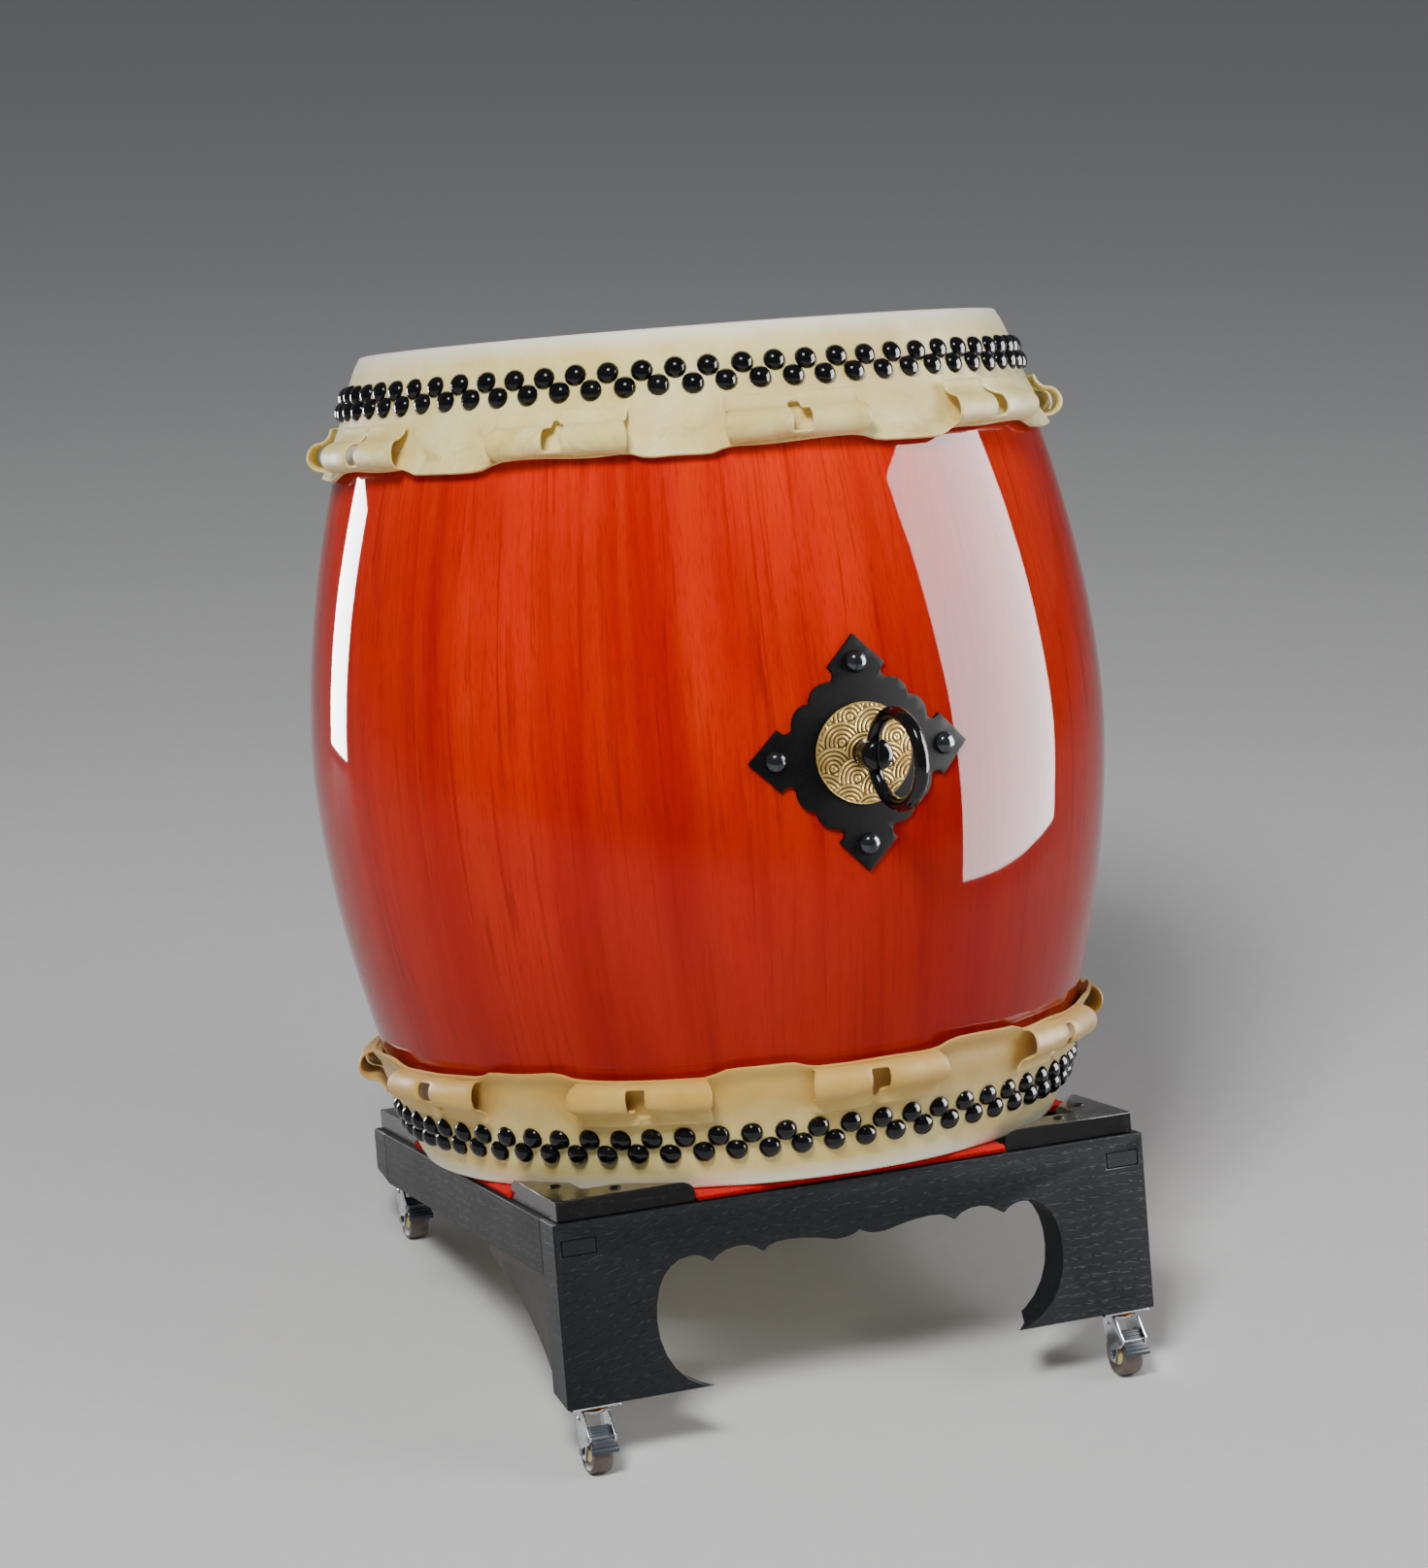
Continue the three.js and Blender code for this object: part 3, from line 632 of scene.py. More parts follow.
def simple(name, light, dark, size, roughness, spread, metallic=0.0, grain=400.0, depth=0.1):
    """A light and a dark colour in smudges of a given size, over a fine grain."""
    tree, shader = start(name, Metallic=metallic, Roughness=roughness)
    place = add(tree, "ShaderNodeTexCoord").outputs["Object"]
    marks = use_group(tree, HANDLING, Vector=place, Size=size)
    colour = mix(tree, marks["Smudges"], light, dark)
    colour = mix(tree, maths(tree, "MULTIPLY", marks["Specks"], 0.25), colour, dark)
    feed(tree, shader, Base_Color=colour,
         Roughness=stretch(tree, marks["Smudges"], 0.0, 1.0, roughness, roughness + spread),
         Normal=bump(tree, noise(tree, place, grain, 2.0), depth, 0.0004))


simple("chrome", srgb(226, 228, 232), srgb(176, 180, 188), 90.0, 0.08, 0.16, metallic=1.0)
simple("orange_brass", srgb(226, 138, 40), srgb(168, 88, 20), 120.0, 0.22, 0.2, metallic=0.8)
simple("tread", srgb(112, 98, 90), srgb(84, 74, 70), 100.0, 0.5, 0.15, grain=900.0, depth=0.25)
simple("hub", srgb(226, 214, 150), srgb(200, 184, 118), 80.0, 0.4, 0.15)
simple("pedal_plastic", srgb(60, 68, 78), srgb(44, 50, 58), 110.0, 0.38, 0.15, grain=1200.0,
       depth=0.2)
simple("gunmetal", srgb(92, 96, 102), srgb(58, 60, 64), 60.0, 0.12, 0.12, metallic=0.9)
simple("cut_edge", srgb(190, 192, 196), srgb(120, 122, 126), 90.0, 0.35, 0.2, metallic=0.3)
simple("steel", srgb(170, 172, 176), srgb(120, 122, 128), 120.0, 0.25, 0.2, metallic=1.0)
simple("screw_black", srgb(44, 42, 42), srgb(24, 23, 24), 120.0, 0.3, 0.2, metallic=0.7)
print("finishes:", len(FINISHES))

# %% [markdown]
# ## The shell
# A barrel is a cylinder whose radius grows towards its middle. We add an open cylinder,
# cut it into many short rings, and then let the barrel() rule set each vertex's radius. A
# solidify modifier gives it the hollowed log's wall.

# %% Shell
shell = fresh(bpy.ops.mesh.primitive_cylinder_add, vertices=160, radius=BELLY,
              depth=2 * (HALF - HIDE - CLEARANCE), end_fill_type="NOTHING")
shell.name = "lacquered_shell"
edit(shell, "EDGE", lambda edge: abs(edge.verts[0].co.z - edge.verts[1].co.z) > 0.1)
bpy.ops.mesh.subdivide(number_cuts=47)
close()


def onto_barrel(place):
    across = math.hypot(place.x, place.y)
    return Vector((place.x, place.y, 0)) * (barrel(place.z) / across) + Vector((0, 0, place.z))


shape(shell, onto_barrel)
modify(shell, "SOLIDIFY", thickness=SHELL_WALL, offset=-1.0)
shell.data.transform(DRUM)
smooth(shell)
finish(shell, "lacquer", "lacquer", "drum", "drum_shell")
print("shell faces:", len(shell.data.polygons))

# %% [markdown]
# ## A hide and its rolled ears
# A hide is stretched wet over the shell's end and tacked. Below the tacks it is slit, and
# the strips between the slits are rolled round the sticks that pulled it down. The sticks
# are gone, and the strips have dried as hollow rolls, the ears, each with a slot in its
# middle. We spin the skirt's profile in a full turn, and each ear's open loop through the
# angle that the ear covers. The hem, the flared ends and the small waves are moved.

# %% The hide's sheet
SKIRT = 0.088  # how far the hide reaches down the shell
RIM_RADIUS = 0.241
# The middles of the ears, in degrees from the drum's front towards +X.
TOP_EARS = (-78, -39, -4, 33.5, 75, 116, 158, 199, 241)
BOTTOM_EARS = (-72.5, -34.5, 1, 40, 81, 122.5, 164, 205, 246)
EAR_DEPTH = 0.072  # from the head to the middle of a roll
EAR_PROUD = 0.009  # from the skirt to the middle of a roll
EAR_WIRE = 0.0099  # the radius of the middle of a roll's wall
EAR_HALF = math.radians(10)
SHEET = 0.0024  # the thickness of a roll's wall


def between(first, second):
    """The angle from one direction to another, the short way round."""
    return math.remainder(first - second, 2 * math.pi)


def from_nearest_ear(angle, middles):
    return min(abs(between(angle, middle)) for middle in middles)


def ease(value, low, high):
    t = min(max((value - low) / (high - low), 0.0), 1.0)
    return t * t * (3 - 2 * t)


def ripple(seed, *place):
    """Smooth chance, from -1 to 1, that is the same on every run."""
    return smooth_noise.noise(Vector(place) + Vector((seed * 7.3, seed * 3.1, 0)))


def hide_sheet(name, middles, seed):
    outer = HIDE + CLEARANCE
    fillet = 0.0035
    rim = [(RIM_RADIUS + fillet * (math.sin(a) - 1), 0, HALF + fillet * (math.cos(a) - 1))
           for a in (math.radians(d) for d in (0, 20, 40, 60, 80))]
    inner = [(r, 0, HALF) for r in (0.0, 0.05, 0.10, 0.15, 0.19, 0.215, 0.228)]
    depths = [0.0075, 0.011, 0.016, 0.022, 0.029, 0.036, 0.043, 0.050, 0.056, 0.062, 0.067,
              0.072, 0.076, 0.080, 0.083, 0.086, SKIRT]
    side = [(barrel(HALF - d) + outer, 0, HALF - d) for d in depths]
    sheet = draw(name, inner + rim + side)
    spin(sheet, 360, 216)

    def settle(place):
        depth = HALF - place.z
        radius = math.hypot(place.x, place.y)
        if depth < 0.004 and radius < 0.22:
            return place
        angle = math.atan2(place.y, place.x)
        off = from_nearest_ear(angle, middles)
        panel = ease(off, EAR_HALF * 0.95, EAR_HALF * 1.35)
        hem = ease(depth, 0.055, SKIRT)
        wave = ripple(seed, 5 * math.cos(angle), 5 * math.sin(angle), 1.0)
        folds = ripple(seed, 9 * math.cos(angle), 9 * math.sin(angle), depth * 18)
        low = place.z - hem * (0.0050 * panel - 0.0042 + 0.0022 * wave)
        flare = ease(depth, SKIRT - 0.012, SKIRT) * (0.0034 + 0.0012 * panel)
        belly = math.sin(math.pi * ease(depth, 0.046, SKIRT)) * 0.0022 * panel
        lift = ease(depth, 0.006, 0.02) * (0.0006 + 0.0006 * folds) * (1 + hem)
        grown = (barrel(low) + outer + flare + belly + lift) if depth > 0.0074 else radius
        return Vector((place.x / radius * grown, place.y / radius * grown, low))

    shape(sheet, settle)
    outward(sheet, lambda centre: Vector((0, 0, 0)))
    modify(sheet, "SOLIDIFY", thickness=0.0026, offset=-1.0)
    return sheet


# %% One rolled ear
def rolled_ear(name, middle, seed):
    """The open loop, spun through its angle, with a slot cut in its middle."""
    span = EAR_HALF * (1 + 0.06 * ripple(seed, 3.3, middle, 0.5))
    height = HALF - EAR_DEPTH + 0.0018 * ripple(seed, middle * 2, 9.1, 0.2)
    reach = barrel(height) + HIDE + CLEARANCE + EAR_PROUD
    skirt = reach - EAR_PROUD
    lead_in = [(skirt + out, 0, height + up) for out, up in
               ((0.0001, 0.0215), (0.0008, 0.0180), (0.0024, 0.0145), (0.0048, 0.0118))]
    loop = [math.radians(a) for a in range(98, -153, -16)]
    ear = draw(name, lead_in + [
        (reach + EAR_WIRE * math.cos(a), 0, height + EAR_WIRE * math.sin(a)) for a in loop])
    ear.data.transform(Matrix.Rotation(middle + span, 4, "Z"))
    spin(ear, math.degrees(2 * span), 22)

    def parts_of(place):
        """How far along the ear, and the direction and distance from the roll's middle."""
        along = between(math.atan2(place.y, place.x), middle)
        out = math.hypot(place.x, place.y) - reach
        up = place.z - height
        return along, math.atan2(up, out), math.hypot(out, up)

    slot = span * (0.13 + 0.03 * ripple(seed, middle, 2.2, 4.4))
    slot_at = span * 0.08 * ripple(seed, middle * 3, 0.7, 1.9)

    def in_slot(face):
        along, around, _ = parts_of(face.calc_center_median())
        narrowed = slot * (1 - 0.6 * ease(around, math.radians(80), math.radians(112)))
        return abs(along - slot_at) < narrowed and math.radians(-52) < around < math.radians(114)

    edit(ear, "FACE", in_slot)
    bpy.ops.mesh.delete(type="FACE")
    close()

    def settle(place):
        along, around, far = parts_of(place)
        share = abs(along) / span
        free = ease(far, 0.0215, 0.0125)
        crumple = 0.05 * ripple(seed, along * 20, around, 3)
        flare = 1 + free * (0.09 * ease(share, 0.75, 1.0) + crumple)
        pinch = 1 - free * 0.08 * ease(abs(along - slot_at), slot * 2.2, slot * 0.8)
        size = far * flare * pinch
        cut = ease(share, 0.7, 1.0) * 0.016 * (math.cos(around) + 0.7 * ripple(seed, along, 2, 5))
        turn = middle + along + math.copysign(cut, along)
        droop = 0.0012 * ripple(seed, middle, along * 6, 8.8)
        distance = reach + size * math.cos(around)
        return Vector((distance * math.cos(turn), distance * math.sin(turn),
                       height + size * math.sin(around) + droop))

    shape(ear, settle)
    outward(ear, lambda c: Vector((c.x, c.y, 0)).normalized() * reach + Vector((0, 0, height)))
    modify(ear, "SOLIDIFY", thickness=SHEET, offset=0.0, material_offset=1)
    modify(ear, "SUBSURF", levels=1, render_levels=1)
    return ear


# %% Both hides
def hide(name, middles, seed):
    sheet = hide_sheet(name, middles, seed)
    for _ in range(2):  # the ears' outer and inner walls keep separate slots
        sheet.data.materials.append(FINISHES["rawhide"])
    ears = [rolled_ear(name + "_ear", middle, seed + i) for i, middle in enumerate(middles)]
    return gather([sheet, *ears], name)


UPSIDE_DOWN = rotated(180, "X")
top_hide = hide("top_hide", [math.radians(turn - 90) for turn in TOP_EARS], 1)
top_hide.data.transform(DRUM)
bottom_hide = hide("bottom_hide", [math.radians(90 - turn) for turn in BOTTOM_EARS], 21)
bottom_hide.data.transform(DRUM @ UPSIDE_DOWN)
for piece, node in ((top_hide, "top_head"), (bottom_hide, "bottom_head")):
    smooth(piece, 60)
    finish(piece, "rawhide rawhide_inside", "rawhide", "drum", node)
    print(piece.name, "faces:", len(piece.data.polygons))

# %% [markdown]
# ## Tacks
# Each hide is held by two staggered rows of domed tacks. One dome is modelled, from a
# sphere that is cut in half and flattened, and copied along both rows. It is repeated some
# 270 times, so it only has a few dozen faces, and smooth shading does the rest.

# %% Tacks
TACKS = 68
TACK_ROWS = (0.0284, 0.0396)
TACK_RADIUS = 0.0083
TACK_HEIGHT = 0.0055

TACK_CUT = 0.0012  # the part above this height of the sphere is kept
tack = fresh(bpy.ops.mesh.primitive_uv_sphere_add, segments=14, ring_count=8,
             radius=TACK_RADIUS)
edit(tack)
bpy.ops.mesh.bisect(plane_co=(0, 0, TACK_CUT), plane_no=(0, 0, 1), use_fill=True,
                    clear_inner=True)
close()
shape(tack, lambda v: Vector((v.x, v.y, (v.z - TACK_CUT) * TACK_HEIGHT / 0.0066)))
print("faces in a tack:", len(tack.data.polygons))


def lean_at(z):
    """How far the barrel's wall leans in at a height."""
    return math.atan2(barrel(z + MM) - barrel(z - MM), 2 * MM)


def on_barrel(angle, z, out, roll=0.0):
    """A frame on the hide: local Z points straight out of the wall."""
    tip = Matrix.Rotation(math.pi / 2 + lean_at(z), 4, "Y")
    stand_off = moved(barrel(z) + out, 0, z)
    return (Matrix.Rotation(angle, 4, "Z") @ stand_off @ tip
            @ Matrix.Rotation(roll, 4, "Z"))


def tack_rows(name, seed):
    chance = random.Random(seed)
    tacks = []
    for row, depth in enumerate(TACK_ROWS):
        for i in range(TACKS):
            angle = 2 * math.pi * (i + row / 2) / TACKS + chance.uniform(-0.0016, 0.0016)
            z = HALF - depth + chance.uniform(-0.0004, 0.0004)
            tilt = (Matrix.Rotation(chance.uniform(-0.07, 0.07), 4, "X")
                    @ Matrix.Rotation(chance.uniform(-0.07, 0.07), 4, "Y"))
            place = on_barrel(angle, z, HIDE + 2 * CLEARANCE + 0.0005) @ tilt
            tacks.append(twin(tack, name, place))
    return gather(tacks, name)


for name, node, leaning in (("top_tack_domes", "top_tacks", DRUM),
                            ("bottom_tack_domes", "bottom_tacks", DRUM @ UPSIDE_DOWN)):
    domes = tack_rows(name, len(name))
    domes.data.transform(leaning)
    smooth(domes, 50)
    finish(domes, "enamel", "black_tacks", "drum", node)
discard(tack)

# %% [markdown]
# ## Handles
# A handle has a pointed plate bent round the belly, an embossed disc, four domed nails, an
# eyebolt and a loose ring. The plate's outline is drawn once, filled, and cut into strips
# so that it can bend. The disc is a fine polar grid, pushed out where its waves are.

# %% The handle's plate
PLATE_REACH = 0.082
PLATE_THICK = 0.0026
DISC_RADIUS = 0.035


def curve(points, steps):
    """Places along a Bezier curve, without its first point."""
    made = []
    for i in range(1, steps + 1):
        row = [Vector(point) for point in points]
        while len(row) > 1:
            row = [a.lerp(b, i / steps) for a, b in zip(row, row[1:])]
        made.append(row[0])
    return made


def bent(place, out=0.0):
    """A flat place, x across and z up and y inwards, moved onto the belly in front."""
    turn = place.x / BELLY
    radius = barrel(place.z) + out - place.y
    return Vector((radius * math.sin(turn), -radius * math.cos(turn), place.z))


def strips(piece, axis, reach, step):
    """Cuts a flat piece by planes across an axis, so that it can bend."""
    count = int(reach / step)
    for i in range(-count, count + 1):
        plane = Vector((0, 0, 0))
        plane[axis] = i * step + 0.1 * MM
        normal = Vector((0, 0, 0))
        normal[axis] = 1
        edit(piece)
        bpy.ops.mesh.bisect(plane_co=plane, plane_no=normal)
        close()


def plate_outline():
    notch = PLATE_REACH - 0.0215
    quarter = [Vector((0, 0, PLATE_REACH)), Vector((0.0215, 0, notch))]
    quarter += curve([(0.0215, 0, notch), (0.015, 0, 0.0545), (0.0205, 0, 0.0505)], 6)
    quarter += curve([(0.0205, 0, 0.0505), (0.030, 0, 0.051), (0.037, 0, 0.045),
                      (0.037, 0, 0.037)], 7)
    quarter += curve([(0.037, 0, 0.037), (0.045, 0, 0.037), (0.051, 0, 0.030),
                      (0.0505, 0, 0.0205)], 7)
    quarter += curve([(0.0505, 0, 0.0205), (0.0545, 0, 0.015), (notch, 0, 0.0215)], 6)
    around = []
    for turn in range(4):
        around += [Matrix.Rotation(math.pi / 2 * turn, 3, "Y") @ point for point in quarter]
    return around


plate = draw("handle_plate", plate_outline(), closed=True)
edit(plate, "EDGE")
bpy.ops.mesh.edge_face_add()
close()
strips(plate, 0, PLATE_REACH, 6 * MM)
strips(plate, 2, PLATE_REACH, 8 * MM)
shape(plate, lambda v: bent(v, 2 * CLEARANCE))
outward(plate, lambda centre: Vector((0, 0, 0)))
modify(plate, "SOLIDIFY", thickness=PLATE_THICK, offset=1.0)
soften(plate, 0.7 * MM, sharp=50, edges=1)
print("plate faces:", len(plate.data.polygons))

# %% The embossed disc
WAVE = 0.0148  # the radius of one wave
RIDGES = 5  # in one wave
RELIEF = 0.9 * MM  # from the grooves to the ridges
DISC_RINGS = 50
DISC_OUT = 2 * CLEARANCE + PLATE_THICK + CLEARANCE


def waves(x, z):
    """The relief of overlapping round waves, from 0 in a groove to 1 on a ridge."""
    row_step = WAVE * 0.92
    x, z = x * 0.94 + z * 0.34, z * 0.94 - x * 0.34  # the rows slope a little
    row = math.floor(z / row_step)
    for lower in range(row - 1, row + 2):
        offset = WAVE * 0.85 if lower % 2 else 0.0
        nearest = round((x - offset) / (1.7 * WAVE)) * 1.7 * WAVE + offset
        distance = math.hypot(x - nearest, z - lower * row_step)
        if distance < WAVE:
            return 0.5 + 0.5 * math.cos(2 * math.pi * (distance / WAVE * RIDGES - 0.5))
    return 0.0


disc = turned("handle_disc",
              [(DISC_RADIUS * i / DISC_RINGS, 0) for i in range(DISC_RINGS + 1)], 180)
disc.data.transform(rotated(90, "X"))
relief = disc.data.attributes.new("relief", "FLOAT", "POINT")
heights = []
for vertex in disc.data.vertices:
    edge = ease(math.hypot(vertex.co.x, vertex.co.z), DISC_RADIUS - 1.2 * MM, DISC_RADIUS)
    heights.append(max(waves(vertex.co.x, vertex.co.z) * (1 - edge), edge * 0.8))
relief.data.foreach_set("value", heights)
for vertex, height in zip(disc.data.vertices, heights):
    vertex.co.y = -RELIEF * height
shape(disc, lambda v: bent(v, DISC_OUT + RELIEF))
outward(disc, lambda centre: Vector((0, 0, 0)))
modify(disc, "SOLIDIFY", thickness=RELIEF, offset=-1.0)
print("disc faces:", len(disc.data.polygons))

# %% Nail, eyebolt and ring
nail = turned("handle_nail", [
    (0, 0), (0.0077, 0), (0.0079, 0.0006), (0.0076, 0.0014), (0.0068, 0.0032), (0.0054, 0.0047),
    (0.0036, 0.0057), (0.0018, 0.0061), (0, 0.0062)], 24)

EYE_OUT = 0.014  # the hole's middle, out from the disc's face
KNOB = 0.0115  # the eyebolt's largest radius
DISC_FACE = DISC_OUT + 0.002
WALL_INSIDE = -(DISC_FACE + 0.0275)
bolt = turned("handle_bolt", [
    (0, WALL_INSIDE - 0.003), (0.012, WALL_INSIDE - 0.003), (0.012, WALL_INSIDE),
    (0.0045, WALL_INSIDE), (0.0045, 0.0005), (0.0098, 0.0005), (0.0102, 0.0012),
    (0.0098, 0.003), (0.0092, 0.0042), (0.0104, 0.0056), (0.0113, 0.0078), (KNOB, 0.011),
    (KNOB, 0.018), (0.0113, 0.0208), (0.0104, 0.0232), (0.0086, 0.0249), (0.006, 0.0258),
    (0.003, 0.0261), (0, 0.0262)], 48)
drill = fresh(bpy.ops.mesh.primitive_cylinder_add, vertices=40, radius=0.0076, depth=0.04,
              location=(0, 0, EYE_OUT), rotation=(math.pi / 2, 0, 0))
modify(bolt, "BOOLEAN", operation="DIFFERENCE", object=drill, solver="EXACT")
discard(drill)
soften(bolt, 0.5 * MM, sharp=50)
bolt.data.transform(moved(0, -BELLY - DISC_FACE, 0) @ rotated(90, "X"))

RING_RADIUS = 0.0312
RING_WIRE = 0.0049
RING_SLACK = 0.0014  # from the hole's middle to the middle of the wire
ring = fresh(bpy.ops.mesh.primitive_torus_add, major_radius=RING_RADIUS,
             minor_radius=RING_WIRE, major_segments=72, minor_segments=20)


def flattened(place):
    """A forged ring is a little thicker where it was closed, opposite the eyebolt."""
    thick = 1 + 0.05 * ease(place.x, 0.02, RING_RADIUS)
    return Vector((place.x, place.y, place.z * thick))


shape(ring, flattened)
ring.data.transform(
    moved(0, -BELLY - DISC_FACE - EYE_OUT, 0) @ rotated(8, "Z") @ rotated(4, "X")
    @ moved(0, RING_SLACK - RING_RADIUS, 0)
    @ rotated(90, "Z") @ rotated(90, "X") @ rotated(180, "Z"))

# %% Both handles
NAIL_REACH = 0.063
NAILS = {"upper": (0, NAIL_REACH), "lower": (0, -NAIL_REACH),
         "left": (-NAIL_REACH, 0), "right": (NAIL_REACH, 0)}
for end, degrees in (("front", 0), ("back", 180)):
    leaning = DRUM @ rotated(degrees, "Z")
    for source, title, finishes, slot, body, node in (
        (plate, "plate_metal", "satin_black cut_edge", "black_plate", "drum", "_handle_plate"),
        (disc, "disc_brass", "embossed_brass", "brass_disc", "drum", "_handle_disc"),
        (bolt, "bolt_metal", "enamel", "black_ring", "drum", "_eyebolt"),
        (ring, "ring_metal", "enamel", "black_ring", end + "_ring", "_ring"),
    ):
        piece = twin(source, end + "_" + title, leaning)
        smooth(piece, 40)
        finish(piece, finishes, slot, body, end + node)
    for place, (across, up) in NAILS.items():
        angle = across / BELLY - math.pi / 2
        out = on_barrel(angle, up, 2 * CLEARANCE + PLATE_THICK)
        piece = twin(nail, end + "_" + place + "_nail_head", leaning @ out)
        smooth(piece, 40)
        finish(piece, "gunmetal", "black_tacks", "drum", end + "_" + place + "_nail")
for pattern in (plate, disc, nail, bolt, ring):
    discard(pattern)
print("handles done:", len(TALLY), "pieces")

# %% [markdown]
# ## The stand's boards
# The boards already have their real outlines in the CAD model. What a plain solid lacks is
# the small chamfer that a plane leaves on each edge, which is what catches the light. So
# each board is a merged copy of its node, with its sharp edges beveled, and the bevels
# take a paler finish as a painted highlight.

# %% Boards, rails and gussets
BOARDS = {
    "front_board": ("front_wood", "stained_wood", 1.1),
    "back_board": ("back_wood", "stained_wood", 1.1),
    "left_rail": ("rail_wood", "stained_wood", 0.7),
    "right_rail": ("rail_wood", "stained_wood", 0.7),
    "left_gusset": ("gusset_wood", "brown_wood", 0.8),
    "right_gusset": ("gusset_wood", "brown_wood", 0.8),
}
for node, (wood, slot, chamfer) in BOARDS.items():
    board = replica(node, chamfer * MM, segments=1, edges=1)
    board.name = node + "_planed"
    smooth(board, 30)
    finish(board, wood + " worn_edge", slot, "stand", node)
    print(board.name, "faces:", len(board.data.polygons))

# %% [markdown]
# ## Corner blocks and their screws
# Each block is cut like the boards, but the top of each arm is rounded over where it ends,
# and two screws hold it down. A screw's head is turned, sunk a little, with a slot across.

# %% Corner blocks
UPRIGHT = STAND.inverted()
CORNER = 0.2225  # from the stand's middle to a block's outer faces
BLOCK_ARM = 0.103
BLOCK_HEIGHT = 0.015


def arm_end(edge):
    """The top edge that crosses the end of an arm."""
    a, b = (vertex.co for vertex in edge.verts)
    high = min(a.z, b.z) > BLOCK_HEIGHT - 0.001
    far = [abs(abs(v.x) - abs(v.y)) > BLOCK_ARM - 0.075 for v in (a, b)]
    slanted = min(abs(a.x - b.x), abs(a.y - b.y)) > 0.01
    return high and slanted and all(far)


screw = turned("screw", [(0, 0.0002), (0.0021, 0.0002), (0.0026, 0.0007), (0.0036, 0.0009),
                         (0.0041, 0.0006), (0.0042, 0), (0, -0.001)], 20)
slot_tool = fresh(bpy.ops.mesh.primitive_cube_add, size=1, location=(0, 0, 0.0008))
slot_tool.scale = (0.006, 0.0009, 0.001)
bpy.ops.object.transform_apply(location=True, rotation=True, scale=True)
modify(screw, "BOOLEAN", operation="DIFFERENCE", object=slot_tool, solver="EXACT")
discard(slot_tool)

SCREWS = ((0.017, 0.052), (0.050, 0.018))  # from the block's outer corner
for end, towards_y in (("front", -1), ("back", 1)):
    for side, towards_x in (("left", -1), ("right", 1)):
        node = end + "_" + side + "_block"
        block = replica(node)
        block.name = node + "_cut"
        block.data.transform(UPRIGHT)
        edit(block, "EDGE", arm_end)
        bpy.ops.mesh.bevel(offset=7 * MM, segments=5, affect="EDGES")
        close()
        # The bevels take the paler finish, a painted highlight.
        soften(block, 0.8 * MM, segments=1, edges=1)
        block.data.transform(STAND)
        smooth(block, 30)
        finish(block, "block_wood worn_edge", "block_wood", "stand", node)
        heads = []
        for i, (u, v) in enumerate(SCREWS):
            spot = moved(towards_x * (CORNER - u), towards_y * (CORNER - v),
                         BLOCK_HEIGHT + 0.0002)
            heads.append(twin(screw, "head", STAND @ spot @ Matrix.Rotation(0.7 + 1.9 * i, 4, "Z")))
        heads = gather(heads, node + "_screws")
        smooth(heads)
        finish(heads, "screw_black", "black_tacks", "stand")
discard(screw)

# %% [markdown]
# ## Ribbed felt
# A strip of felt lies between each pair of blocks. Its face is ribbed across, so we add a
# fine grid, raise it in rounded ribs, and give it a thickness.

# %% Felt strips
RIB = 3.0 * MM  # from one rib to the next
RIB_DEPTH = 1.1 * MM
FELT_HALF = 0.1185  # half a strip's length
FELT_WIDTH = 0.0275
FELT_TOP = 0.0063
FELT_OUT = 0.21225  # from the stand's middle to the middle of a strip
FELT = {"front": (0, -1), "back": (0, 1), "left": (-1, 0), "right": (1, 0)}
for side, (dx, dy) in FELT.items():
    felt = fresh(bpy.ops.mesh.primitive_grid_add, x_subdivisions=480, y_subdivisions=10, size=1)
    felt.name = side + "_felt_ribs"

    def ribbed(place):
        along, across = place.x * 2 * FELT_HALF, place.y * FELT_WIDTH
        rib = abs(math.sin(math.pi * (along + across * 0.35) / RIB)) ** 0.7
        fuzz = ripple(len(side), along * 400, across * 400, 0)
        edge = ease(abs(across), 0.0115, FELT_WIDTH / 2)
        height = FELT_TOP - RIB_DEPTH * (1 - rib) + 0.00015 * fuzz - 0.002 * edge
        return Vector((along, across, height))

    shape(felt, ribbed)
    modify(felt, "SOLIDIFY", thickness=0.0038, offset=-1.0)
    felt.data.transform(STAND @ moved(dx * FELT_OUT, dy * FELT_OUT, 0)
                        @ rotated(0 if dy else 90, "Z"))
    smooth(felt, 50)
    finish(felt, "red_felt", "red_felt", "stand", side + "_felt")
print("felt strips done")

# %% [markdown]
# ## Casters
# The four casters are alike, so one is modelled round its own swivel axis, and each piece
# is copied to all four places. Those places are the swivels of the frame's joints. The
# wheel, pedal and axle turn on their own bodies, so they are separate pieces.

# %% One caster's turned pieces
TRAIL = 0.012  # how far the axle lies behind the swivel
WHEEL = 0.016  # the wheel's radius
AXLE_UP = moved(0, -TRAIL, WHEEL)
SIDEWAYS = rotated(90, "Y")
SWIVEL_UP = 0.025  # the joint's height


def tread_profile():
    """Half of a wheel's section, doubled: a rounded tread, a dished side and a hub hole."""
    half = [(0.0152, -0.0072), (0.0158, -0.0062), (0.0160, -0.0045), (0.0160, 0)]
    back = [(0.0078, -0.0058), (0.0100, -0.0052), (0.0122, -0.0058), (0.0136, -0.0073)]
    section = back + half
    return section + [(r, -h) for r, h in reversed(section[:-1])]


caster = {}
wheel = turned("wheel", tread_profile(), 56, closed=True)
hub = turned("hub", [
    (0.0029, -0.0076), (0.0045, -0.0076), (0.0050, -0.0068), (0.0079, -0.0060), (0.0079, 0.0060),
    (0.0050, 0.0068), (0.0045, 0.0076), (0.0029, 0.0076)], 32, closed=True)
for piece in (wheel, hub):
    piece.data.transform(AXLE_UP @ SIDEWAYS)
caster["wheel_tread"] = (wheel, "tread", "tread", "wheel", ["wheel"])
caster["wheel_hub"] = (hub, "hub", "tread", "wheel", [])

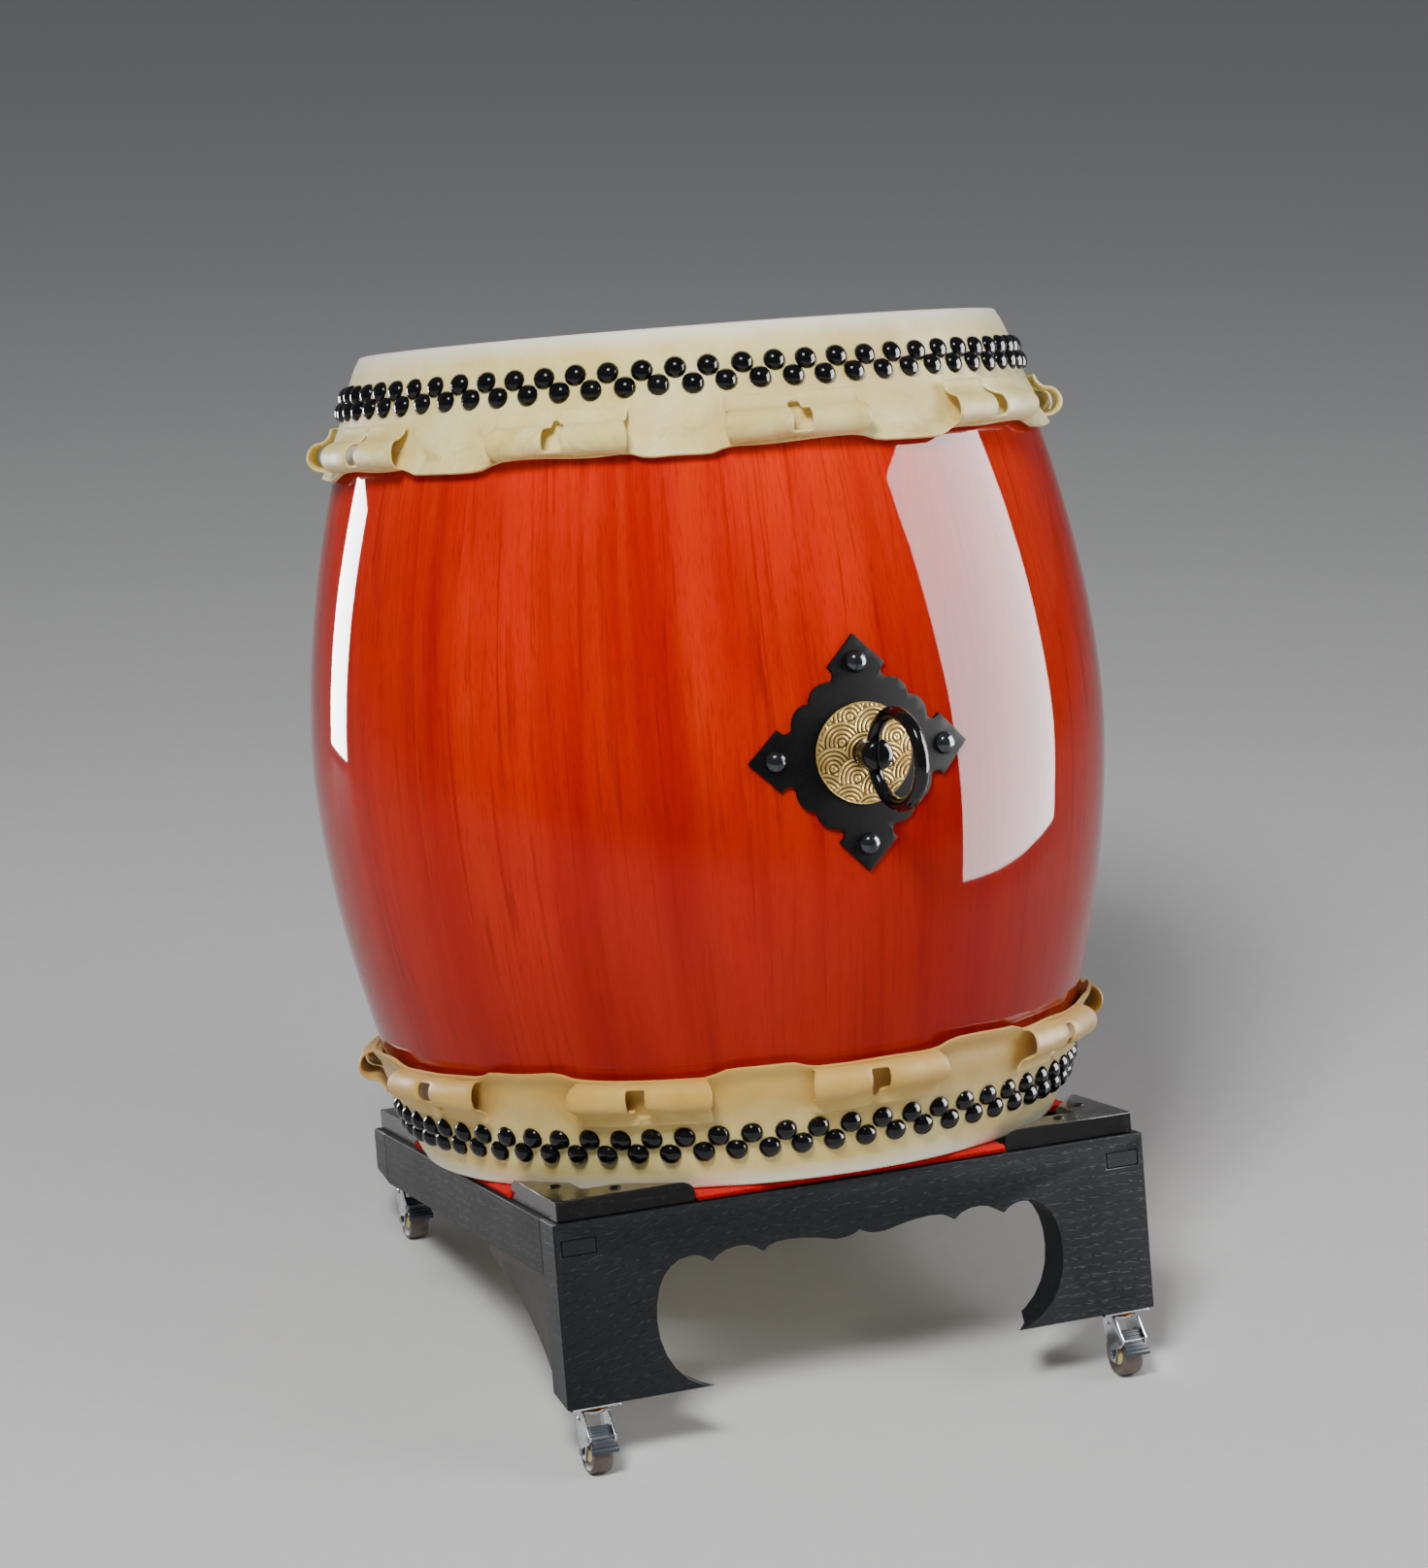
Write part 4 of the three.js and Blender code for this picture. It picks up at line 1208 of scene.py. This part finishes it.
race = turned("race", [
    (0.0044, 0.0454), (0.0096, 0.0454), (0.0112, 0.0458), (0.0115, 0.0462), (0.0104, 0.0465),
    (0.0102, 0.0467), (0.0112, 0.0469), (0.0108, 0.0472), (0.0044, 0.0473)], 40, closed=True)
caster["race_cups"] = (race, "orange_brass", "race", "fork", ["race"])

axle = turned("axle", [(0, -0.0119), (0.0030, -0.0119), (0.0034, -0.0113), (0.0026, -0.0103),
                       (0.0024, -0.0103), (0.0024, 0.0103), (0.0042, 0.0103), (0.0042, 0.0104),
                       (0, 0.0104)], 20)
nut = fresh(bpy.ops.mesh.primitive_cylinder_add, vertices=6, radius=0.0046, depth=0.0016,
            location=(0, 0, 0.0111))
bpy.ops.object.transform_apply(location=True, rotation=True, scale=True)
edit(nut, "FACE", lambda face: face.normal.z > 0.5)
bpy.ops.mesh.inset(thickness=0.0012)
extrude((0, 0, 0.0002))
close()
axle = gather([axle, nut], "axle")
soften(axle, 0.15 * MM)
axle.data.transform(AXLE_UP @ SIDEWAYS)
caster["axle_nut"] = (axle, "steel", "chrome", "fork", ["axle"])

# %% The fork and the top plate, from their CAD shapes
first = "front_left_caster_"
FIRST_SWIVEL = Vector(JOINTS["front_left_swivel"]["pos_m"]) - Vector((0, 0, SWIVEL_UP))
for part, chamfer in (("fork", 0.35), ("plate", 0.4)):
    piece = replica(first + part, chamfer * MM, segments=2, sharp=40)
    piece.data.transform(moved(*-FIRST_SWIVEL))
    extras = [piece]
    if part == "fork":
        for side in (-1, 1):
            rivet = turned("rivet", [(0, -0.0002), (0.0021, -0.0002), (0.0021, 0.0003),
                                     (0.0016, 0.0008), (0, 0.0010)], 16)
            rivet.data.transform(moved(side * 0.0100, -0.0035, 0.0365) @ rotated(side * 90, "Y"))
            extras.append(rivet)
    else:
        for side in (-1, 1):
            for back in (-1, 1):
                cap = turned("cap", [(0, 0.0003), (0.0015, 0.0003), (0.0024, 0),
                                     (0.0024, -0.0003), (0.0015, -0.0010), (0, -0.0012)], 16)
                cap.data.transform(moved(side * 0.0135, back * 0.0100, 0.0477))
                extras.append(cap)
            edge = draw("lip", [(side * 0.0168, -0.0135, 0.0486), (side * 0.0168, 0.0135, 0.0486)])
            edit(edge)
            extrude((side * 0.0016, 0, -0.0016))
            close()
            modify(edge, "SOLIDIFY", thickness=0.0012, offset=0.0)
            modify(edge, "BEVEL", width=0.4 * MM, segments=2)
            extras.append(edge)
    piece = gather(extras, part)
    body = "fork" if part == "fork" else "stand"
    caster[part + "_steel"] = (piece, "chrome", "chrome", body, [part])

# %% The ribbed brake pedal
PIVOT_BACK, PIVOT_UP = 0.0122, 0.0146  # from the axle
PIVOT = moved(0, -TRAIL - PIVOT_BACK, WHEEL + PIVOT_UP)
SLOPE = math.atan2(PIVOT_BACK, PIVOT_UP)
profile = [(-0.0110, -0.0030), (-0.0116, -0.0012), (-0.0106, 0.0009), (-0.0090, 0.0014)]
for rib in range(6):
    y = -0.0078 + rib * 0.0028
    profile += [(y, 0.0004), (y + 0.0003, 0.0012), (y + 0.0013, 0.0012), (y + 0.0016, 0.0004)]
profile += [(0.0090, 0.0002), (0.0090, -0.0009), (-0.0096, -0.0010), (-0.0102, -0.0028)]
pedal = draw("pedal", [(-0.0078, y, z) for y, z in profile], closed=True)
edit(pedal, "EDGE")
bpy.ops.mesh.edge_face_add()
extrude((0.0156, 0, 0))
close()
clean(pedal)


def widened(place):
    """The toe end of the pedal is wider than the strip between the fork's arms."""
    return Vector((place.x * (1 + 0.28 * ease(-place.y, 0.0045, 0.0075)), place.y, place.z))


shape(pedal, widened)
soften(pedal, 0.3 * MM)
pin = turned("pin", [(0, -0.0108), (0.0022, -0.0108), (0.0022, -0.0103), (0.0014, -0.0103),
                     (0.0014, 0.0103), (0.0022, 0.0103), (0.0022, 0.0108), (0, 0.0108)], 16)
pin.data.transform(SIDEWAYS)
for piece in (pedal, pin):
    piece.data.transform(PIVOT @ Matrix.Rotation(SLOPE, 4, "X"))
caster["pedal_ribs"] = (pedal, "pedal_plastic", "pedal", "pedal", ["pedal"])
caster["pedal_pin"] = (pin, "steel", "chrome", "pedal", [])

# %% All four casters
for end in ("front", "back"):
    for side in ("left", "right"):
        corner = end + "_" + side
        swivel = Vector(JOINTS[corner + "_swivel"]["pos_m"]) - Vector((0, 0, SWIVEL_UP))
        for title, (source, finishes, slot, body, nodes) in caster.items():
            piece = twin(source, corner + "_" + title, Matrix.Translation(swivel))
            smooth(piece, 40)
            body_name = body if body == "stand" else corner + "_" + body
            finish(piece, finishes, slot, body_name, *[corner + "_caster_" + n for n in nodes])
for source, *_ in caster.values():
    discard(source)
print("pieces:", len(TALLY))

# %% [markdown]
# ## Floor and light
# A pale floor and soft light, so that the lacquer reads clearly. A broad light from the
# upper left gives the shadows, and a weaker one from the right fills them. Three more panels
# only show as reflections: a tall one on the right, a narrow one behind on the left, and a
# small one high in front.

# %% Floor
floor = fresh(bpy.ops.mesh.primitive_plane_add, size=80)
floor.name = "floor"
tree, shader = start("floor", Roughness=0.9, Specular_IOR_Level=0.1)
place = add(tree, "ShaderNodeTexCoord").outputs["Object"]
paper = noise(tree, place, 60.0, 3.0)
feed(tree, shader, Base_Color=mix(tree, paper, srgb(214, 214, 214), srgb(222, 222, 221)))
floor.data.materials.append(FINISHES["floor"])

world = bpy.data.worlds.new("studio")
world.use_nodes = True
sky = world.node_tree.nodes["Background"].inputs
sky["Color"].default_value = (0.8, 0.82, 0.86, 1)
sky["Strength"].default_value = 0.18
bpy.context.scene.world = world


# %% Lights
def panel(name, place, target, width, height, power, diffuse=True):
    """A soft rectangle of light that faces a point. It either lights or is reflected."""
    data = bpy.data.lights.new(name, "AREA")
    data.shape = "RECTANGLE"
    data.size, data.size_y = width, height
    data.energy = power
    lamp = bpy.data.objects.new(name, data)
    away = Vector(place) - Vector(target)
    lamp.location = place
    lamp.rotation_euler = away.to_track_quat("Z", "Y").to_euler()
    lamp.visible_diffuse = diffuse
    lamp.visible_glossy = not diffuse
    bpy.context.collection.objects.link(lamp)


HEART = tuple(MIDDLE)
panel("key", (-1.5, -1.9, 3.0), HEART, 0.9, 0.9, 124)
panel("right_panel", (1.31, -0.58, 0.72), (0.1, 0.0, 0.5), 1.05, 1.35, 104, diffuse=False)
panel("left_panel", (-1.12, 1.5, 0.36), (-0.25, 0.1, 0.45), 0.36, 0.66, 40, diffuse=False)
panel("high_panel", (-0.6, -1.2, 2.35), HEART, 0.6, 0.6, 26, diffuse=False)
panel("fill", (2.0, -1.6, 2.0), HEART, 1.4, 1.4, 26)
